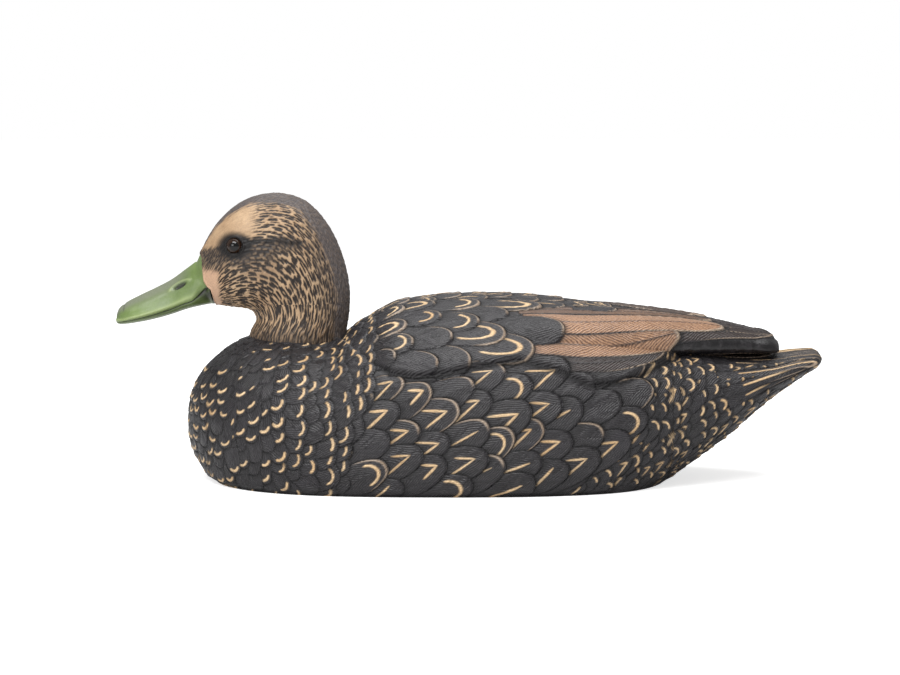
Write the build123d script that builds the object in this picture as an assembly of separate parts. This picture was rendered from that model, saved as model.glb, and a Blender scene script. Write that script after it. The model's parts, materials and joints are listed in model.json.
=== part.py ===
from build123d import *
import math
import os

# Floating duck decoy. Millimetres, +Z up, flat bottom on z = 0.
# The bill points to -X, the tail to +X, and the mirror plane of the body is y = 0.

# ---------------------------------------------------------------- overall sizes
body_length = 375.0          # breast to tail tip
beam = 172.0                 # hull width
back_height = 108.0          # bottom to the highest point of the back
head_length = 91.0           # nape to the base of the bill
bill_length = 49.0           # base of the bill to its tip, along X
neck_setback = 64.0          # breast to the pivot axis of the head

# ---------------------------------------------------------------- walls and fits
shell_wall = 3.0
head_wall = 3.0
pan_thickness = 3.0
gasket_thickness = 1.5
flange_thickness = 4.0
running_gap = 0.05           # radial, between a shaft and its bore
bond_gap = 0.05              # between pieces bonded or screwed together
neck_gap = 0.4               # radial, between the neck and the hull's neck opening
face_gap = 0.05              # between flat faces that turn on each other
screw_gap = 0.15             # radial, round a screw or a bolt that passes through
drop_in_gap = 0.2            # round a piece that drops into its seat
sink_gap = 0.3               # radial, round a countersunk head

# ---------------------------------------------------------------- neck pivot
neck_insert = 10.0           # neck below the lowest point of the seam
friction_disc_thickness = 1.0
cup_wall = 3.0
cup_floor = 5.0
plug_thickness = 12.0
bolt_radius = 4.0
bolt_head_flats = 13.0
bolt_head_height = 5.5
washer_radius = 9.0
washer_thickness = 1.6
spring_washer_thickness = 2.2
spring_washer_sheet = 1.0
nut_flats = 13.0
nut_height = 7.5
bolt_end = 2.0               # bolt past the nut
seal_cord = 2.0              # thickness of the pivot's O-ring

# ---------------------------------------------------------------- eyes
eye_radius = 5.2
eye_proud = 1.9              # how far the eye stands out of its socket's rim plane

# ---------------------------------------------------------------- peg that holds the bill
peg_radius = 6.0
peg_length = 10.0

# ---------------------------------------------------------------- bottom and its screws
pan_inset = 6.0              # hull's bottom edge to the edge of the pan
flange_width = 13.0
screw_radius = 1.75
screw_head_radius = 3.4
screw_length = 14.0
screw_count = 10
screw_set_in = 0.2           # head below the face of the pan
screw_sink = 2.2             # depth of the countersink
gasket_margin = 1.0          # edge of the flange to the edge of the gasket
boss_radius = 5.0
boss_height = 9.0

# ---------------------------------------------------------------- ballast
ballast_width = 30.0
ballast_height = 8.0
ballast_corner = 3.0         # radius of its upright corners
rib_thickness = 2.5
rib_height = 4.8             # ribs round the ballast, above the pan
end_rib_width = 20.0
strap_width = 14.0
strap_thickness = 1.5
strap_foot = 12.0
strap_inset = 25.0           # end of the ballast to the middle of a strap
strap_screw_length = 8.0     # in its pad
strap_screw_head = 3.2
strap_screw_head_height = 2.0
strap_pad = 6.0              # height of the pads under the strap's feet

# ---------------------------------------------------------------- drain
drain_radius = 6.0
drain_flange_radius = 10.0
drain_flange_thickness = 2.0
drain_boss_radius = 14.0
drain_boss_height = 9.0
drain_seal_cord = 2.0
drain_plug_end = 2.0         # plug past its boss
coin_slot_length = 12.0
coin_slot_width = 2.0
coin_slot_depth = 1.2

# ---------------------------------------------------------------- line bail
bail_wire = 1.5              # radius of the wire
bail_width = 24.0            # between the centres of the two legs
bail_reach = 22.0            # pivot to the far bar
bail_bend = 3.0              # radius of the wire's bends, at its centre
bail_pin = 5.0               # pivot end beyond the leg's centre
bail_recess_depth = 7.0
bail_recess_wall = 2.5
bail_side_gap = 2.0          # between the wire and the sides of its recess
bail_station = 0.145         # pivot along the body, from the breast

# ---------------------------------------------------------------- foam
foam_bottom = 24.0
foam_pivot_clearance = 5.0

# ---------------------------------------------------------------- spacing along the bottom
chain_gap = 5.0              # between the recess, the ballast and the drain

# ---------------------------------------------------------------- derived positions
half_beam = beam / 2
bill_base_dx = 0.654 * head_length
bill_reach = bill_base_dx + bill_length
overall_length = body_length + bill_reach - neck_setback
bow_x = -overall_length / 2 + bill_reach - neck_setback
neck_x = bow_x + neck_setback
collar_z = 0.787 * back_height
neck_radius = 0.322 * head_length
seam_low_z = collar_z - 0.11 * head_length
neck_base_z = seam_low_z - neck_insert

# Hull stations: place along the body, half width, top, height of the widest point and underside.
# Widths are in half beams and heights in back heights. An underside below 0 is cut off flat.
HULL_STATIONS = (
    (0.004, 0.15, 0.450, 0.33, 0.210),
    (0.015, 0.30, 0.545, 0.34, 0.120),
    (0.037, 0.47, 0.645, 0.35, 0.010),
    (0.065, 0.61, 0.725, 0.35, -0.12),
    (0.100, 0.73, 0.780, 0.35, -0.24),
    (0.170, 0.875, 0.787, 0.35, -0.40),
    (0.235, 0.945, 0.780, 0.35, -0.46),
    (0.275, 0.97, 0.880, 0.35, -0.46),
    (0.320, 0.99, 0.945, 0.36, -0.46),
    (0.385, 1.00, 0.985, 0.36, -0.46),
    (0.470, 1.00, 1.000, 0.37, -0.46),
    (0.570, 0.965, 0.980, 0.38, -0.42),
    (0.660, 0.89, 0.925, 0.40, -0.28),
    (0.745, 0.77, 0.840, 0.44, -0.03),
    (0.800, 0.67, 0.770, 0.48, 0.110),
    (0.860, 0.56, 0.710, 0.53, 0.265),
    (0.920, 0.455, 0.690, 0.59, 0.450),
    (0.970, 0.375, 0.708, 0.645, 0.575),
    (0.992, 0.31, 0.715, 0.665, 0.620),
    (1.000, 0.24, 0.705, 0.672, 0.645),
)
HULL_NOSE = 0.335            # height of the foremost point of the breast
HULL_TOP_POWER = 2.0
HULL_BOTTOM_POWER = 2.3
WING_POWER = 2.4
CAVITY_STATIONS = slice(2, 16)
END_THICKENING = 2.5         # wall at the bow and the stern, in side walls

FLAT_END = 0.755             # where the flat bottom ends, along the body

# Folded wing: place along the body, centre from the mirror plane, half width, top and underside.
WING_STATIONS = (
    (0.440, 0.42, 0.20, 0.900, 0.800),
    (0.520, 0.42, 0.30, 0.955, 0.780),
    (0.620, 0.37, 0.32, 0.953, 0.760),
    (0.720, 0.31, 0.28, 0.925, 0.745),
    (0.820, 0.235, 0.195, 0.870, 0.735),
    (0.890, 0.175, 0.130, 0.815, 0.725),
    (0.932, 0.140, 0.085, 0.770, 0.715),
)

# Head stations, from the neck's base round the nape to the face: throat point, outer point and half width.
# Distances are in head lengths from the pivot axis and from the collar's height.
HEAD_STATIONS = (
    (-0.322, -0.10, 0.322, -0.10, 0.322),
    (-0.312, 0.035, 0.318, 0.035, 0.315),
    (-0.275, 0.110, 0.335, 0.140, 0.295),
    (-0.286, 0.155, 0.341, 0.295, 0.290),
    (-0.319, 0.181, 0.298, 0.520, 0.300),
    (-0.357, 0.190, 0.200, 0.735, 0.308),
    (-0.401, 0.196, 0.040, 0.900, 0.308),
    (-0.445, 0.200, -0.137, 0.945, 0.298),
    (-0.484, 0.204, -0.335, 0.905, 0.275),
    (-0.517, 0.208, -0.500, 0.780, 0.232),
    (-0.544, 0.211, -0.605, 0.626, 0.182),
    (-0.564, 0.213, -0.654, 0.520, 0.142),
)
NAPE_STATIONS = slice(1, 4)  # from the collar to the widest part of the nape
CROWN_STATION = 7
HEAD_CAVITY_END = 7          # last head station that the cavity reaches
HEAD_POWER = 2.15
NECK_POWER = 2.0
NECK_STATIONS = 2            # stations whose sections are round

# Bill stations: part of the bill's length, top, underside (head lengths over the collar) and half width.
BILL_STATIONS = (
    (0.00, 0.520, 0.205, 0.140),
    (0.14, 0.470, 0.183, 0.132),
    (0.32, 0.392, 0.150, 0.130),
    (0.52, 0.325, 0.120, 0.140),
    (0.72, 0.272, 0.098, 0.148),
    (0.88, 0.225, 0.088, 0.138),
    (0.96, 0.190, 0.088, 0.108),
    (1.00, 0.150, 0.104, 0.060),
)
BILL_TOP_POWER = 1.7
BILL_BOTTOM_POWER = 2.6
BILL_LIP = 0.3               # widest line, as a part of the height from the underside

# Points on each section and on the hull's footprint.
SECTION_POINTS = 28
FOOTPRINT_POINTS = 48
FOOTPRINT_SEARCH = 720

# Screws' cross slots, in head radii and head heights, and the blunt end of their points.
SLOT_ARM = 0.7
SLOT_WIDTH = 0.14
SLOT_DEPTH = 0.5
SCREW_BLUNTNESS = 0.2
PAN_HEAD_TOP = 0.7

EYE_DX = -0.390              # eye's centre, in head lengths from the pivot axis and the collar
EYE_DZ = 0.610
EYE_SURFACE = 0.277          # face's half width at the eye

# ---------------------------------------------------------------- more derived positions
gasket_top = pan_thickness + gasket_thickness
flange_top = gasket_top + flange_thickness
neck_bore = neck_radius + neck_gap
cup_radius = neck_bore + cup_wall
cup_floor_top = neck_base_z - friction_disc_thickness - 2 * face_gap
cup_floor_bottom = cup_floor_top - cup_floor
washer_z = cup_floor_bottom - face_gap - washer_thickness
spring_z = washer_z - bond_gap - spring_washer_thickness
nut_z = spring_z - bond_gap - nut_height
bolt_end_z = nut_z - bolt_end
plug_radius = neck_radius - head_wall
bolt_head_z = neck_base_z + plug_thickness - bolt_head_height

bail_pin_z = bail_recess_depth / 2
bail_x = bow_x + bail_station * body_length
recess_front = bail_x - bail_wire - bail_side_gap
recess_rear = bail_x + bail_reach + bail_wire + bail_side_gap
recess_half_width = bail_width / 2 + bail_wire + bail_side_gap
pin_wall = bail_pin + bail_recess_wall - bail_wire
flat_end_x = bow_x + FLAT_END * body_length
drain_x = flat_end_x - pan_inset - flange_width - chain_gap - drain_boss_radius
ballast_front = recess_rear + bail_recess_wall + chain_gap
ballast_length = drain_x - drain_boss_radius - chain_gap - ballast_front
ballast_x = ballast_front + ballast_length / 2
rib_y = ballast_width / 2 + bond_gap + rib_thickness / 2
strap_leg_y = rib_y + rib_thickness / 2 + bond_gap
strap_foot_y = strap_leg_y + strap_thickness + strap_foot / 2
strap_top_z = pan_thickness + bond_gap + ballast_height + bond_gap
pad_top_z = pan_thickness + strap_pad
strap_xs = (ballast_front + strap_inset, ballast_front + ballast_length - strap_inset)
strap_screw_z = pad_top_z + 2 * bond_gap + strap_thickness + strap_screw_head_height
drain_seal_low = drain_flange_thickness + 2 * bond_gap
drain_seal_top = drain_seal_low + drain_seal_cord
eye_x = neck_x + EYE_DX * head_length
eye_y = EYE_SURFACE * head_length - (eye_radius - eye_proud)
eye_z = collar_z + EYE_DZ * head_length
far = 2 * overall_length     # past the model on every side
above = 2 * back_height      # past the head


# ---------------------------------------------------------------- helpers
def block(x_range, y_range, z_range):
    size = [high - low for low, high in (x_range, y_range, z_range)]
    middle = [(high + low) / 2 for low, high in (x_range, y_range, z_range)]
    return Pos(*middle) * Box(*size)


def rod(x, y, z_low, z_high, radius):
    return Pos(x, y, (z_low + z_high) / 2) * Cylinder(radius, z_high - z_low)


def hexagon(x, y, z_low, height, flats):
    outline = RegularPolygon(flats / 2, 6, major_radius=False)
    return Pos(x, y, z_low) * extrude(outline, height)


def signed_power(value, exponent):
    return math.copysign(abs(value) ** exponent, value)


def closed_curve(points):
    return Face(Wire([Edge.make_spline([Vector(*p) for p in points], periodic=True)]))


def turn_angles(count):
    return [2 * math.pi * i / count for i in range(count)]


def upright_section(x, width, top, widest, bottom, top_power, bottom_power):
    """Section across X: two half superellipses that meet at the widest point."""
    points = []
    for angle in turn_angles(SECTION_POINTS):
        cosine, sine = math.cos(angle), math.sin(angle)
        power = top_power if sine >= 0 else bottom_power
        reach = top - widest if sine >= 0 else widest - bottom
        y = width * signed_power(cosine, 2 / power)
        z = widest + reach * signed_power(sine, 2 / power)
        points.append((x, y, z))
    return closed_curve(points)


def hull_section(station, inset):
    """Section of the hull held in by a margin, which also draws it in from the bow and the stern."""
    along, width, top, widest, bottom = station
    draw_in = END_THICKENING * inset * (1 - 2 * along)
    return upright_section(
        bow_x + along * body_length + draw_in,
        width * half_beam - inset,
        top * back_height - inset,
        widest * back_height,
        bottom * back_height + inset,
        HULL_TOP_POWER,
        HULL_BOTTOM_POWER,
    )


def cavity_form(inset):
    """Inside of the hull, held in from its skin, above the bottom flange."""
    form = loft([hull_section(s, inset) for s in HULL_STATIONS[CAVITY_STATIONS]])
    return form - block((-far, far), (-far, far), (-far, flange_top))


def wing(side):
    sections = []
    for along, centre, width, top, bottom in WING_STATIONS:
        x = bow_x + along * body_length
        middle = (top + bottom) / 2 * back_height
        section = upright_section(
            x, width * half_beam, top * back_height, middle, bottom * back_height, WING_POWER, WING_POWER
        )
        sections.append(Pos(0, side * centre * half_beam, 0) * section)
    return loft(sections)


def head_point(dx, dz):
    return Vector(neck_x + dx * head_length, 0, collar_z + dz * head_length)


def head_section(station, inset, power):
    """Section of the head between a point of the throat line and one of the crown line."""
    throat = head_point(*station[0:2])
    crown = head_point(*station[2:4])
    middle = (throat + crown) / 2
    span = (crown - throat) / 2
    half = span.length - inset
    along = span.normalized()
    width = station[4] * head_length - inset
    points = []
    for angle in turn_angles(SECTION_POINTS):
        offset = along * (half * signed_power(math.cos(angle), 2 / power))
        y = width * signed_power(math.sin(angle), 2 / power)
        points.append((middle.X + offset.X, y, middle.Z + offset.Z))
    return closed_curve(points)


def head_form(first, last, inset):
    """Head between two stations, made in two runs that share the station at the crown."""
    sections = []
    for index in range(first, last + 1):
        power = NECK_POWER if index < NECK_STATIONS else HEAD_POWER
        sections.append(head_section(HEAD_STATIONS[index], inset, power))
    crown = CROWN_STATION - first
    form = loft(sections[:crown + 1])
    if len(sections) > crown + 1:
        form += loft(sections[crown:])
    return form


def screw(x, y, z_head, length, radius, head_radius, head_height, up):
    """Pan-head or countersunk screw; up is +1 where its point is above its head."""
    shank_start = z_head + up * head_height
    tip = z_head + up * length
    low, high = sorted((shank_start, tip - up * radius))
    body = rod(x, y, low, high, radius)
    blunt = SCREW_BLUNTNESS * radius
    point = Cone(radius, blunt, radius) if up > 0 else Cone(blunt, radius, radius)
    body += Pos(x, y, tip - up * radius / 2) * point
    head = Cone(head_radius, radius if up > 0 else PAN_HEAD_TOP * head_radius, head_height)
    body += Pos(x, y, z_head + up * head_height / 2) * head
    arm = SLOT_ARM * head_radius
    width = SLOT_WIDTH * head_radius
    slot_z = sorted((z_head, z_head + up * SLOT_DEPTH * head_height))
    for along_x, along_y in ((arm, width), (width, arm)):
        body -= block((x - along_x, x + along_x), (y - along_y, y + along_y), slot_z)
    return body


def o_ring(x, z_low, inner_radius, cord):
    return Pos(x, 0, z_low + cord / 2) * Torus(inner_radius + cord / 2, cord / 2 - bond_gap)


# ---------------------------------------------------------------- hull
def nape_clearance():
    """Space that the nape sweeps as the head turns, with the neck's gap round it."""
    profile = [
        (station[2] * head_length + neck_gap, collar_z + station[3] * head_length)
        for station in HEAD_STATIONS[NAPE_STATIONS]
    ]
    space = []
    for (low_radius, low_z), (high_radius, high_z) in zip(profile, profile[1:]):
        sweep_cone = Cone(low_radius, high_radius, high_z - low_z)
        space.append(Pos(neck_x, 0, (low_z + high_z) / 2) * sweep_cone)
    widest, top_z = profile[-1]
    space.append(rod(neck_x, 0, top_z, above, widest))
    return space


def outer_form():
    nose = Vertex(bow_x, 0, HULL_NOSE * back_height)
    return loft([nose] + [hull_section(s, 0) for s in HULL_STATIONS])


def build_shell(bottom_edge, screw_points):
    hull = outer_form() + [wing(-1), wing(1)]
    hollow = [
        block((-far, far), (-far, far), (-far, 0)),
        cavity_form(shell_wall),
        extrude(bottom_edge(pan_inset), gasket_top),
        extrude(bottom_edge(pan_inset + flange_width), flange_top),
        rod(neck_x, 0, neck_base_z, above, neck_bore),
    ]
    shell = hull - (hollow + nape_clearance())
    shell += [rod(x, y, gasket_top, flange_top + boss_height, boss_radius) for x, y in screw_points]
    return shell - [
        rod(x, y, 0, screw_length + bond_gap, screw_radius + bond_gap) for x, y in screw_points
    ]


def build_pan(bottom_edge, screw_points):
    rib_z = (0, pan_thickness + rib_height)
    raised = [rod(drain_x, 0, 0, drain_boss_height, drain_boss_radius)]
    holes = []
    for side in (-1, 1):
        y = side * rib_y
        xs = (ballast_x - ballast_length / 2, ballast_x + ballast_length / 2)
        raised.append(block(xs, (y - rib_thickness / 2, y + rib_thickness / 2), rib_z))
        end = ballast_x + side * (ballast_length / 2 + bond_gap + rib_thickness / 2)
        xs = (end - rib_thickness / 2, end + rib_thickness / 2)
        raised.append(block(xs, (-end_rib_width / 2, end_rib_width / 2), rib_z))
        foot = side * strap_foot_y
        for x in strap_xs:
            xs = (x - strap_width / 2, x + strap_width / 2)
            raised.append(block(xs, (foot - strap_foot / 2, foot + strap_foot / 2), (0, pad_top_z)))
            holes.append(rod(x, foot, pad_top_z - strap_screw_length, pad_top_z, screw_radius + bond_gap))
    raised.append(block(
        (recess_front - bail_recess_wall, recess_rear + bail_recess_wall),
        (-recess_half_width - pin_wall, recess_half_width + pin_wall),
        (0, bail_recess_depth + bail_recess_wall),
    ))
    holes.append(block(
        (recess_front, recess_rear),
        (-recess_half_width, recess_half_width),
        (0, bail_recess_depth),
    ))
    pin_length = bail_width + 2 * bail_pin + 2 * running_gap
    holes.append(Pos(bail_x, 0, bail_pin_z) * Rot(90, 0, 0) * Cylinder(bail_wire + running_gap, pin_length))
    holes.append(rod(drain_x, 0, 0, drain_boss_height, drain_radius + bond_gap))
    holes.append(rod(drain_x, 0, 0, drain_flange_thickness + bond_gap, drain_flange_radius + drop_in_gap))
    holes.append(rod(drain_x, 0, 0, drain_seal_top, drain_radius + drain_seal_cord))
    for x, y in screw_points:
        holes.append(rod(x, y, 0, pan_thickness, screw_radius + screw_gap))
        sink = Cone(screw_head_radius + sink_gap, screw_radius + screw_gap, screw_sink)
        holes.append(Pos(x, y, screw_sink / 2) * sink)
    return extrude(bottom_edge(pan_inset + drop_in_gap), pan_thickness) + raised - holes


def build_gasket(bottom_edge, screw_points):
    outer = bottom_edge(pan_inset + gasket_margin)
    inner = bottom_edge(pan_inset + flange_width - gasket_margin)
    ring = extrude(outer, gasket_thickness - 2 * bond_gap) - extrude(inner, gasket_thickness)
    ring = Pos(0, 0, pan_thickness + bond_gap) * ring
    return ring - [rod(x, y, 0, gasket_top, screw_radius + screw_gap) for x, y in screw_points]


def build_bail():
    """Half of the wire: pivot pin, bend, leg, bend and half of the far bar; then its mirror image."""
    half = bail_width / 2
    pin = Line((0, -half - bail_pin), (0, -half - bail_bend))
    pivot_bend = JernArc(pin @ 1, pin % 1, bail_bend, -90)
    leg = Line(pivot_bend @ 1, (bail_reach - bail_bend, -half))
    far_bend = JernArc(leg @ 1, leg % 1, bail_bend, 90)
    bar = Line(far_bend @ 1, (bail_reach, 0))
    path = pin + pivot_bend + leg + far_bend + bar
    profile = Plane(origin=pin @ 0, z_dir=pin % 0) * Circle(bail_wire)
    wire = sweep(profile, path=path)
    wire += mirror(wire, about=Plane.XZ)
    return Pos(bail_x, 0, bail_pin_z) * wire


def build_bottom_screws(screw_points):
    length = screw_length - screw_set_in
    head_height = screw_sink - screw_set_in
    return Compound([
        screw(x, y, screw_set_in, length, screw_radius, screw_head_radius, head_height, 1)
        for x, y in screw_points
    ])


def build_ballast():
    z_low = pan_thickness + bond_gap
    bar = block(
        (ballast_front, ballast_front + ballast_length),
        (-ballast_width / 2, ballast_width / 2),
        (z_low, z_low + ballast_height),
    )
    return fillet(bar.edges().filter_by(Axis.Z), ballast_corner)


def build_strap_screws():
    length = strap_screw_length + strap_screw_head_height
    return Compound([
        screw(
            x, side * strap_foot_y, strap_screw_z, length,
            screw_radius, strap_screw_head, strap_screw_head_height, -1,
        )
        for x in strap_xs for side in (-1, 1)
    ])


def build_drain_plug():
    plug = rod(drain_x, 0, 0, drain_flange_thickness, drain_flange_radius)
    plug += rod(drain_x, 0, 0, drain_boss_height + drain_plug_end, drain_radius)
    slot_x = (drain_x - coin_slot_length / 2, drain_x + coin_slot_length / 2)
    return plug - block(slot_x, (-coin_slot_width / 2, coin_slot_width / 2), (0, coin_slot_depth))


def build_strap(x):
    edge = strap_leg_y + strap_thickness
    xs = (x - strap_width / 2, x + strap_width / 2)
    strap = block(xs, (-edge, edge), (strap_top_z, strap_top_z + strap_thickness))
    foot_z = pad_top_z + bond_gap
    for side in (-1, 1):
        leg = sorted((side * strap_leg_y, side * edge))
        strap += block(xs, leg, (foot_z, strap_top_z + strap_thickness))
        foot = sorted((side * strap_leg_y, side * (edge + strap_foot)))
        strap += block(xs, foot, (foot_z, foot_z + strap_thickness))
        strap -= rod(x, side * strap_foot_y, 0, strap_top_z, screw_radius + screw_gap)
    return strap


def build_cup():
    cup = cavity_form(shell_wall + bond_gap) & rod(neck_x, 0, cup_floor_bottom, above, cup_radius)
    cup -= rod(neck_x, 0, cup_floor_top, above, neck_bore)
    cup -= rod(neck_x, 0, 0, above, bolt_radius + running_gap)
    groove = rod(neck_x, 0, cup_floor_top - seal_cord, cup_floor_top, bolt_radius + seal_cord)
    return cup - [groove, *nape_clearance()]


def build_foam():
    foam = cavity_form(shell_wall + bond_gap) & block((-far, far), (-far, far), (foam_bottom, far))
    low = bolt_end_z - foam_pivot_clearance
    return foam - rod(neck_x, 0, low, above, cup_radius + foam_pivot_clearance)


# ---------------------------------------------------------------- head
def face_plane():
    throat = head_point(*HEAD_STATIONS[-1][0:2])
    crown = head_point(*HEAD_STATIONS[-1][2:4])
    up = (crown - throat).normalized()
    forward = Vector(-up.Z, 0, up.X)
    return Plane(origin=(throat + crown) / 2, x_dir=Vector(0, 1, 0), z_dir=forward)


def build_head():
    head = head_form(1, len(HEAD_STATIONS) - 1, 0)
    top = collar_z + HEAD_STATIONS[1][1] * head_length
    neck_top = HEAD_STATIONS[1][4] * head_length
    head += Pos(neck_x, 0, (neck_base_z + top) / 2) * Cone(neck_radius, neck_top, top - neck_base_z)
    head -= rod(neck_x, 0, neck_base_z, top, plug_radius)
    head -= head_form(1, HEAD_CAVITY_END, head_wall)
    face = face_plane()
    head -= face * Pos(0, 0, -peg_length / 2) * Cylinder(peg_radius + bond_gap, peg_length + 2 * bond_gap)
    for side in (-1, 1):
        head -= Pos(eye_x, side * eye_y, eye_z) * Sphere(eye_radius + bond_gap)
    return head


def build_bill():
    sections = []
    for along, top, bottom, width in BILL_STATIONS:
        x = neck_x - bill_base_dx - along * bill_length
        top_z = collar_z + top * head_length
        bottom_z = collar_z + bottom * head_length
        lip_z = bottom_z + BILL_LIP * (top_z - bottom_z)
        sections.append(
            upright_section(x, width * head_length, top_z, lip_z, bottom_z, BILL_TOP_POWER, BILL_BOTTOM_POWER)
        )
    bill = loft(sections)
    face = face_plane()
    reach = 2 * head_length
    behind = face * Pos(0, 0, bond_gap - reach / 2) * Box(reach, reach, reach)
    bill -= behind
    bill += face * Cylinder(peg_radius, 2 * peg_length)
    return bill


def build_plug():
    plug = rod(neck_x, 0, neck_base_z, neck_base_z + plug_thickness, plug_radius - bond_gap)
    plug -= rod(neck_x, 0, 0, above, bolt_radius + bond_gap)
    return plug - hexagon(neck_x, 0, bolt_head_z, bolt_head_height, bolt_head_flats + 2 * bond_gap)


def build_bolt():
    bolt = rod(neck_x, 0, bolt_end_z, bolt_head_z + bond_gap, bolt_radius)
    return bolt + hexagon(neck_x, 0, bolt_head_z + bond_gap, bolt_head_height - bond_gap, bolt_head_flats)


def flat_ring(z_low, thickness, outer, inner):
    return rod(neck_x, 0, z_low, z_low + thickness, outer) - rod(neck_x, 0, 0, above, inner)


def build_spring_washer():
    """Conical disc spring, pressed almost flat."""
    inner = bolt_radius + screw_gap
    outer = washer_radius
    sheet = spring_washer_sheet
    rise = spring_washer_thickness - sheet
    corners = ((inner, rise), (outer, 0), (outer, sheet), (inner, rise + sheet), (inner, rise))
    disc = revolve(Plane.XZ * make_face(Polyline(*corners)), Axis.Z)
    return Pos(neck_x, 0, spring_z) * disc


def build_nut():
    nut = hexagon(neck_x, 0, nut_z, nut_height, nut_flats)
    return nut - rod(neck_x, 0, 0, above, bolt_radius + bond_gap)


# ---------------------------------------------------------------- footprint of the hull
def outline_maker():
    """Footprint of the hull on z = 0, and that footprint held in by any margin, from the stern round."""
    footprint = (outer_form() & Rectangle(2 * far, 2 * far)).faces()[0]
    edge = footprint.outer_wire()
    middle = footprint.center()
    places = [i / FOOTPRINT_SEARCH for i in range(FOOTPRINT_SEARCH)]
    start = max(places, key=lambda place: edge.position_at(place).X)

    def held_in(margin):
        points = []
        for i in range(FOOTPRINT_POINTS):
            place = (start + i / FOOTPRINT_POINTS) % 1
            point = edge.position_at(place)
            tangent = edge.tangent_at(place)
            inward = Vector(-tangent.Y, tangent.X, 0)
            if inward.dot(middle - point) < 0:
                inward = inward * -1
            moved = point + inward * margin
            points.append((moved.X, moved.Y, 0))
        return closed_curve(points)

    return held_in


def main():
    os.makedirs("parts", exist_ok=True)
    bottom_edge = outline_maker()
    screw_line = bottom_edge(pan_inset + flange_width / 2).outer_wire()
    screw_points = []
    for i in range(screw_count):
        point = screw_line.position_at((i + 0.5) / screw_count)
        screw_points.append((point.X, point.Y))

    parts = {
        "body_shell": build_shell(bottom_edge, screw_points),
        "bottom_pan": build_pan(bottom_edge, screw_points),
        "bottom_gasket": build_gasket(bottom_edge, screw_points),
        "foam_core": build_foam(),
        "neck_cup": build_cup(),
        "line_bail": build_bail(),
        "bottom_screws": build_bottom_screws(screw_points),
        "ballast_bar": build_ballast(),
        "strap_screws": build_strap_screws(),
        "drain_plug": build_drain_plug(),
        "drain_seal": o_ring(drain_x, drain_seal_low, drain_radius, drain_seal_cord),
        "pivot_seal": o_ring(neck_x, cup_floor_top - seal_cord, bolt_radius, seal_cord),
        "friction_disc": flat_ring(
            cup_floor_top, friction_disc_thickness, plug_radius, bolt_radius + seal_cord
        ),
        "pivot_washer": flat_ring(washer_z, washer_thickness, washer_radius, bolt_radius + screw_gap),
        "head_shell": build_head(),
        "bill": build_bill(),
        "neck_plug": build_plug(),
        "pivot_bolt": build_bolt(),
        "pivot_disc_spring": build_spring_washer(),
        "pivot_nut": build_nut(),
    }
    for name, x in zip(("front", "rear"), strap_xs):
        parts[f"ballast_strap_{name}"] = build_strap(x)
    for name, side in (("left", -1), ("right", 1)):
        parts[f"eye_{name}"] = Pos(eye_x, side * eye_y, eye_z) * Sphere(eye_radius)

    for name, shape in parts.items():
        export_step(shape, f"parts/{name}.step")


main()
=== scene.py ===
import json
import math

import bpy
import numpy as np
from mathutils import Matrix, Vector


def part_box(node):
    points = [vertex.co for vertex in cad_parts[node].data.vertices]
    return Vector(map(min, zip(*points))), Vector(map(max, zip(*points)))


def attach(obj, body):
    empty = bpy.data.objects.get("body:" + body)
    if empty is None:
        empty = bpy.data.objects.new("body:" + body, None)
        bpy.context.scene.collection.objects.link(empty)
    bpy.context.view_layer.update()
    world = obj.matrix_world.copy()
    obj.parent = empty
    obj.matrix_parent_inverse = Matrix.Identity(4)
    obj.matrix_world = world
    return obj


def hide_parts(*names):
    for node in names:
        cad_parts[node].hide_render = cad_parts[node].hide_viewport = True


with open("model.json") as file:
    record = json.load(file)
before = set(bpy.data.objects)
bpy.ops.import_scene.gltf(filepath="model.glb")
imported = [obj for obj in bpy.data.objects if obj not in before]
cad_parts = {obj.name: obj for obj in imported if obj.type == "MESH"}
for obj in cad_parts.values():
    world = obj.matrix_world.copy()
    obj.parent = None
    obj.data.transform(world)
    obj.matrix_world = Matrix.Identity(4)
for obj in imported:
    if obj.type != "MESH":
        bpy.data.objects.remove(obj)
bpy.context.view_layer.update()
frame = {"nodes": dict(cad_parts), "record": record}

MM = 0.001
rng = np.random.default_rng(7)

# ---------------- frame positions, in mm
hull_low, hull_high = [np.array(v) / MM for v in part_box("body_shell")]
eye_box = [np.array(v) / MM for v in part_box("eye_left")]
BOW_X = hull_low[0]
BODY_LENGTH = hull_high[0] - hull_low[0]
HALF_BEAM = 86.0
BACK = 108.0
HEAD = 91.0
SIDES = (-1, 1)  # left, right
swivel = [j for j in frame["record"]["behaviour"]["joints"] if j["name"] == "head_swivel"][0]
NECK_X = swivel["pos_m"][0] / MM
NECK_BASE = swivel["pos_m"][2] / MM
COLLAR_Z = 0.787 * BACK
EYE_X, EYE_Z = [(eye_box[0][k] + eye_box[1][k]) / 2 for k in (0, 2)]


# ---------------- small maths
def smooth(edge0, edge1, value):
    t = np.clip((value - edge0) / (edge1 - edge0), 0.0, 1.0)
    return t * t * (3 - 2 * t)


def spline(xs, ys):
    """Smooth interpolation through points (Catmull-Rom slopes on uneven steps)."""
    xs = np.array(xs, float)
    ys = np.array(ys, float)
    slopes = np.gradient(ys, xs)

    def at(x):
        x = np.clip(np.asarray(x, float), xs[0], xs[-1])
        i = np.clip(np.searchsorted(xs, x) - 1, 0, len(xs) - 2)
        h = xs[i + 1] - xs[i]
        t = (x - xs[i]) / h
        return (
            (2 * t**3 - 3 * t**2 + 1) * ys[i]
            + (t**3 - 2 * t**2 + t) * h * slopes[i]
            + (-2 * t**3 + 3 * t**2) * ys[i + 1]
            + (t**3 - t**2) * h * slopes[i + 1]
        )

    return at


def bell(value, width):
    """A smooth bump: 1 at zero, fading out over about twice the width."""
    return np.exp(-((value / width) ** 2))


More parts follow.
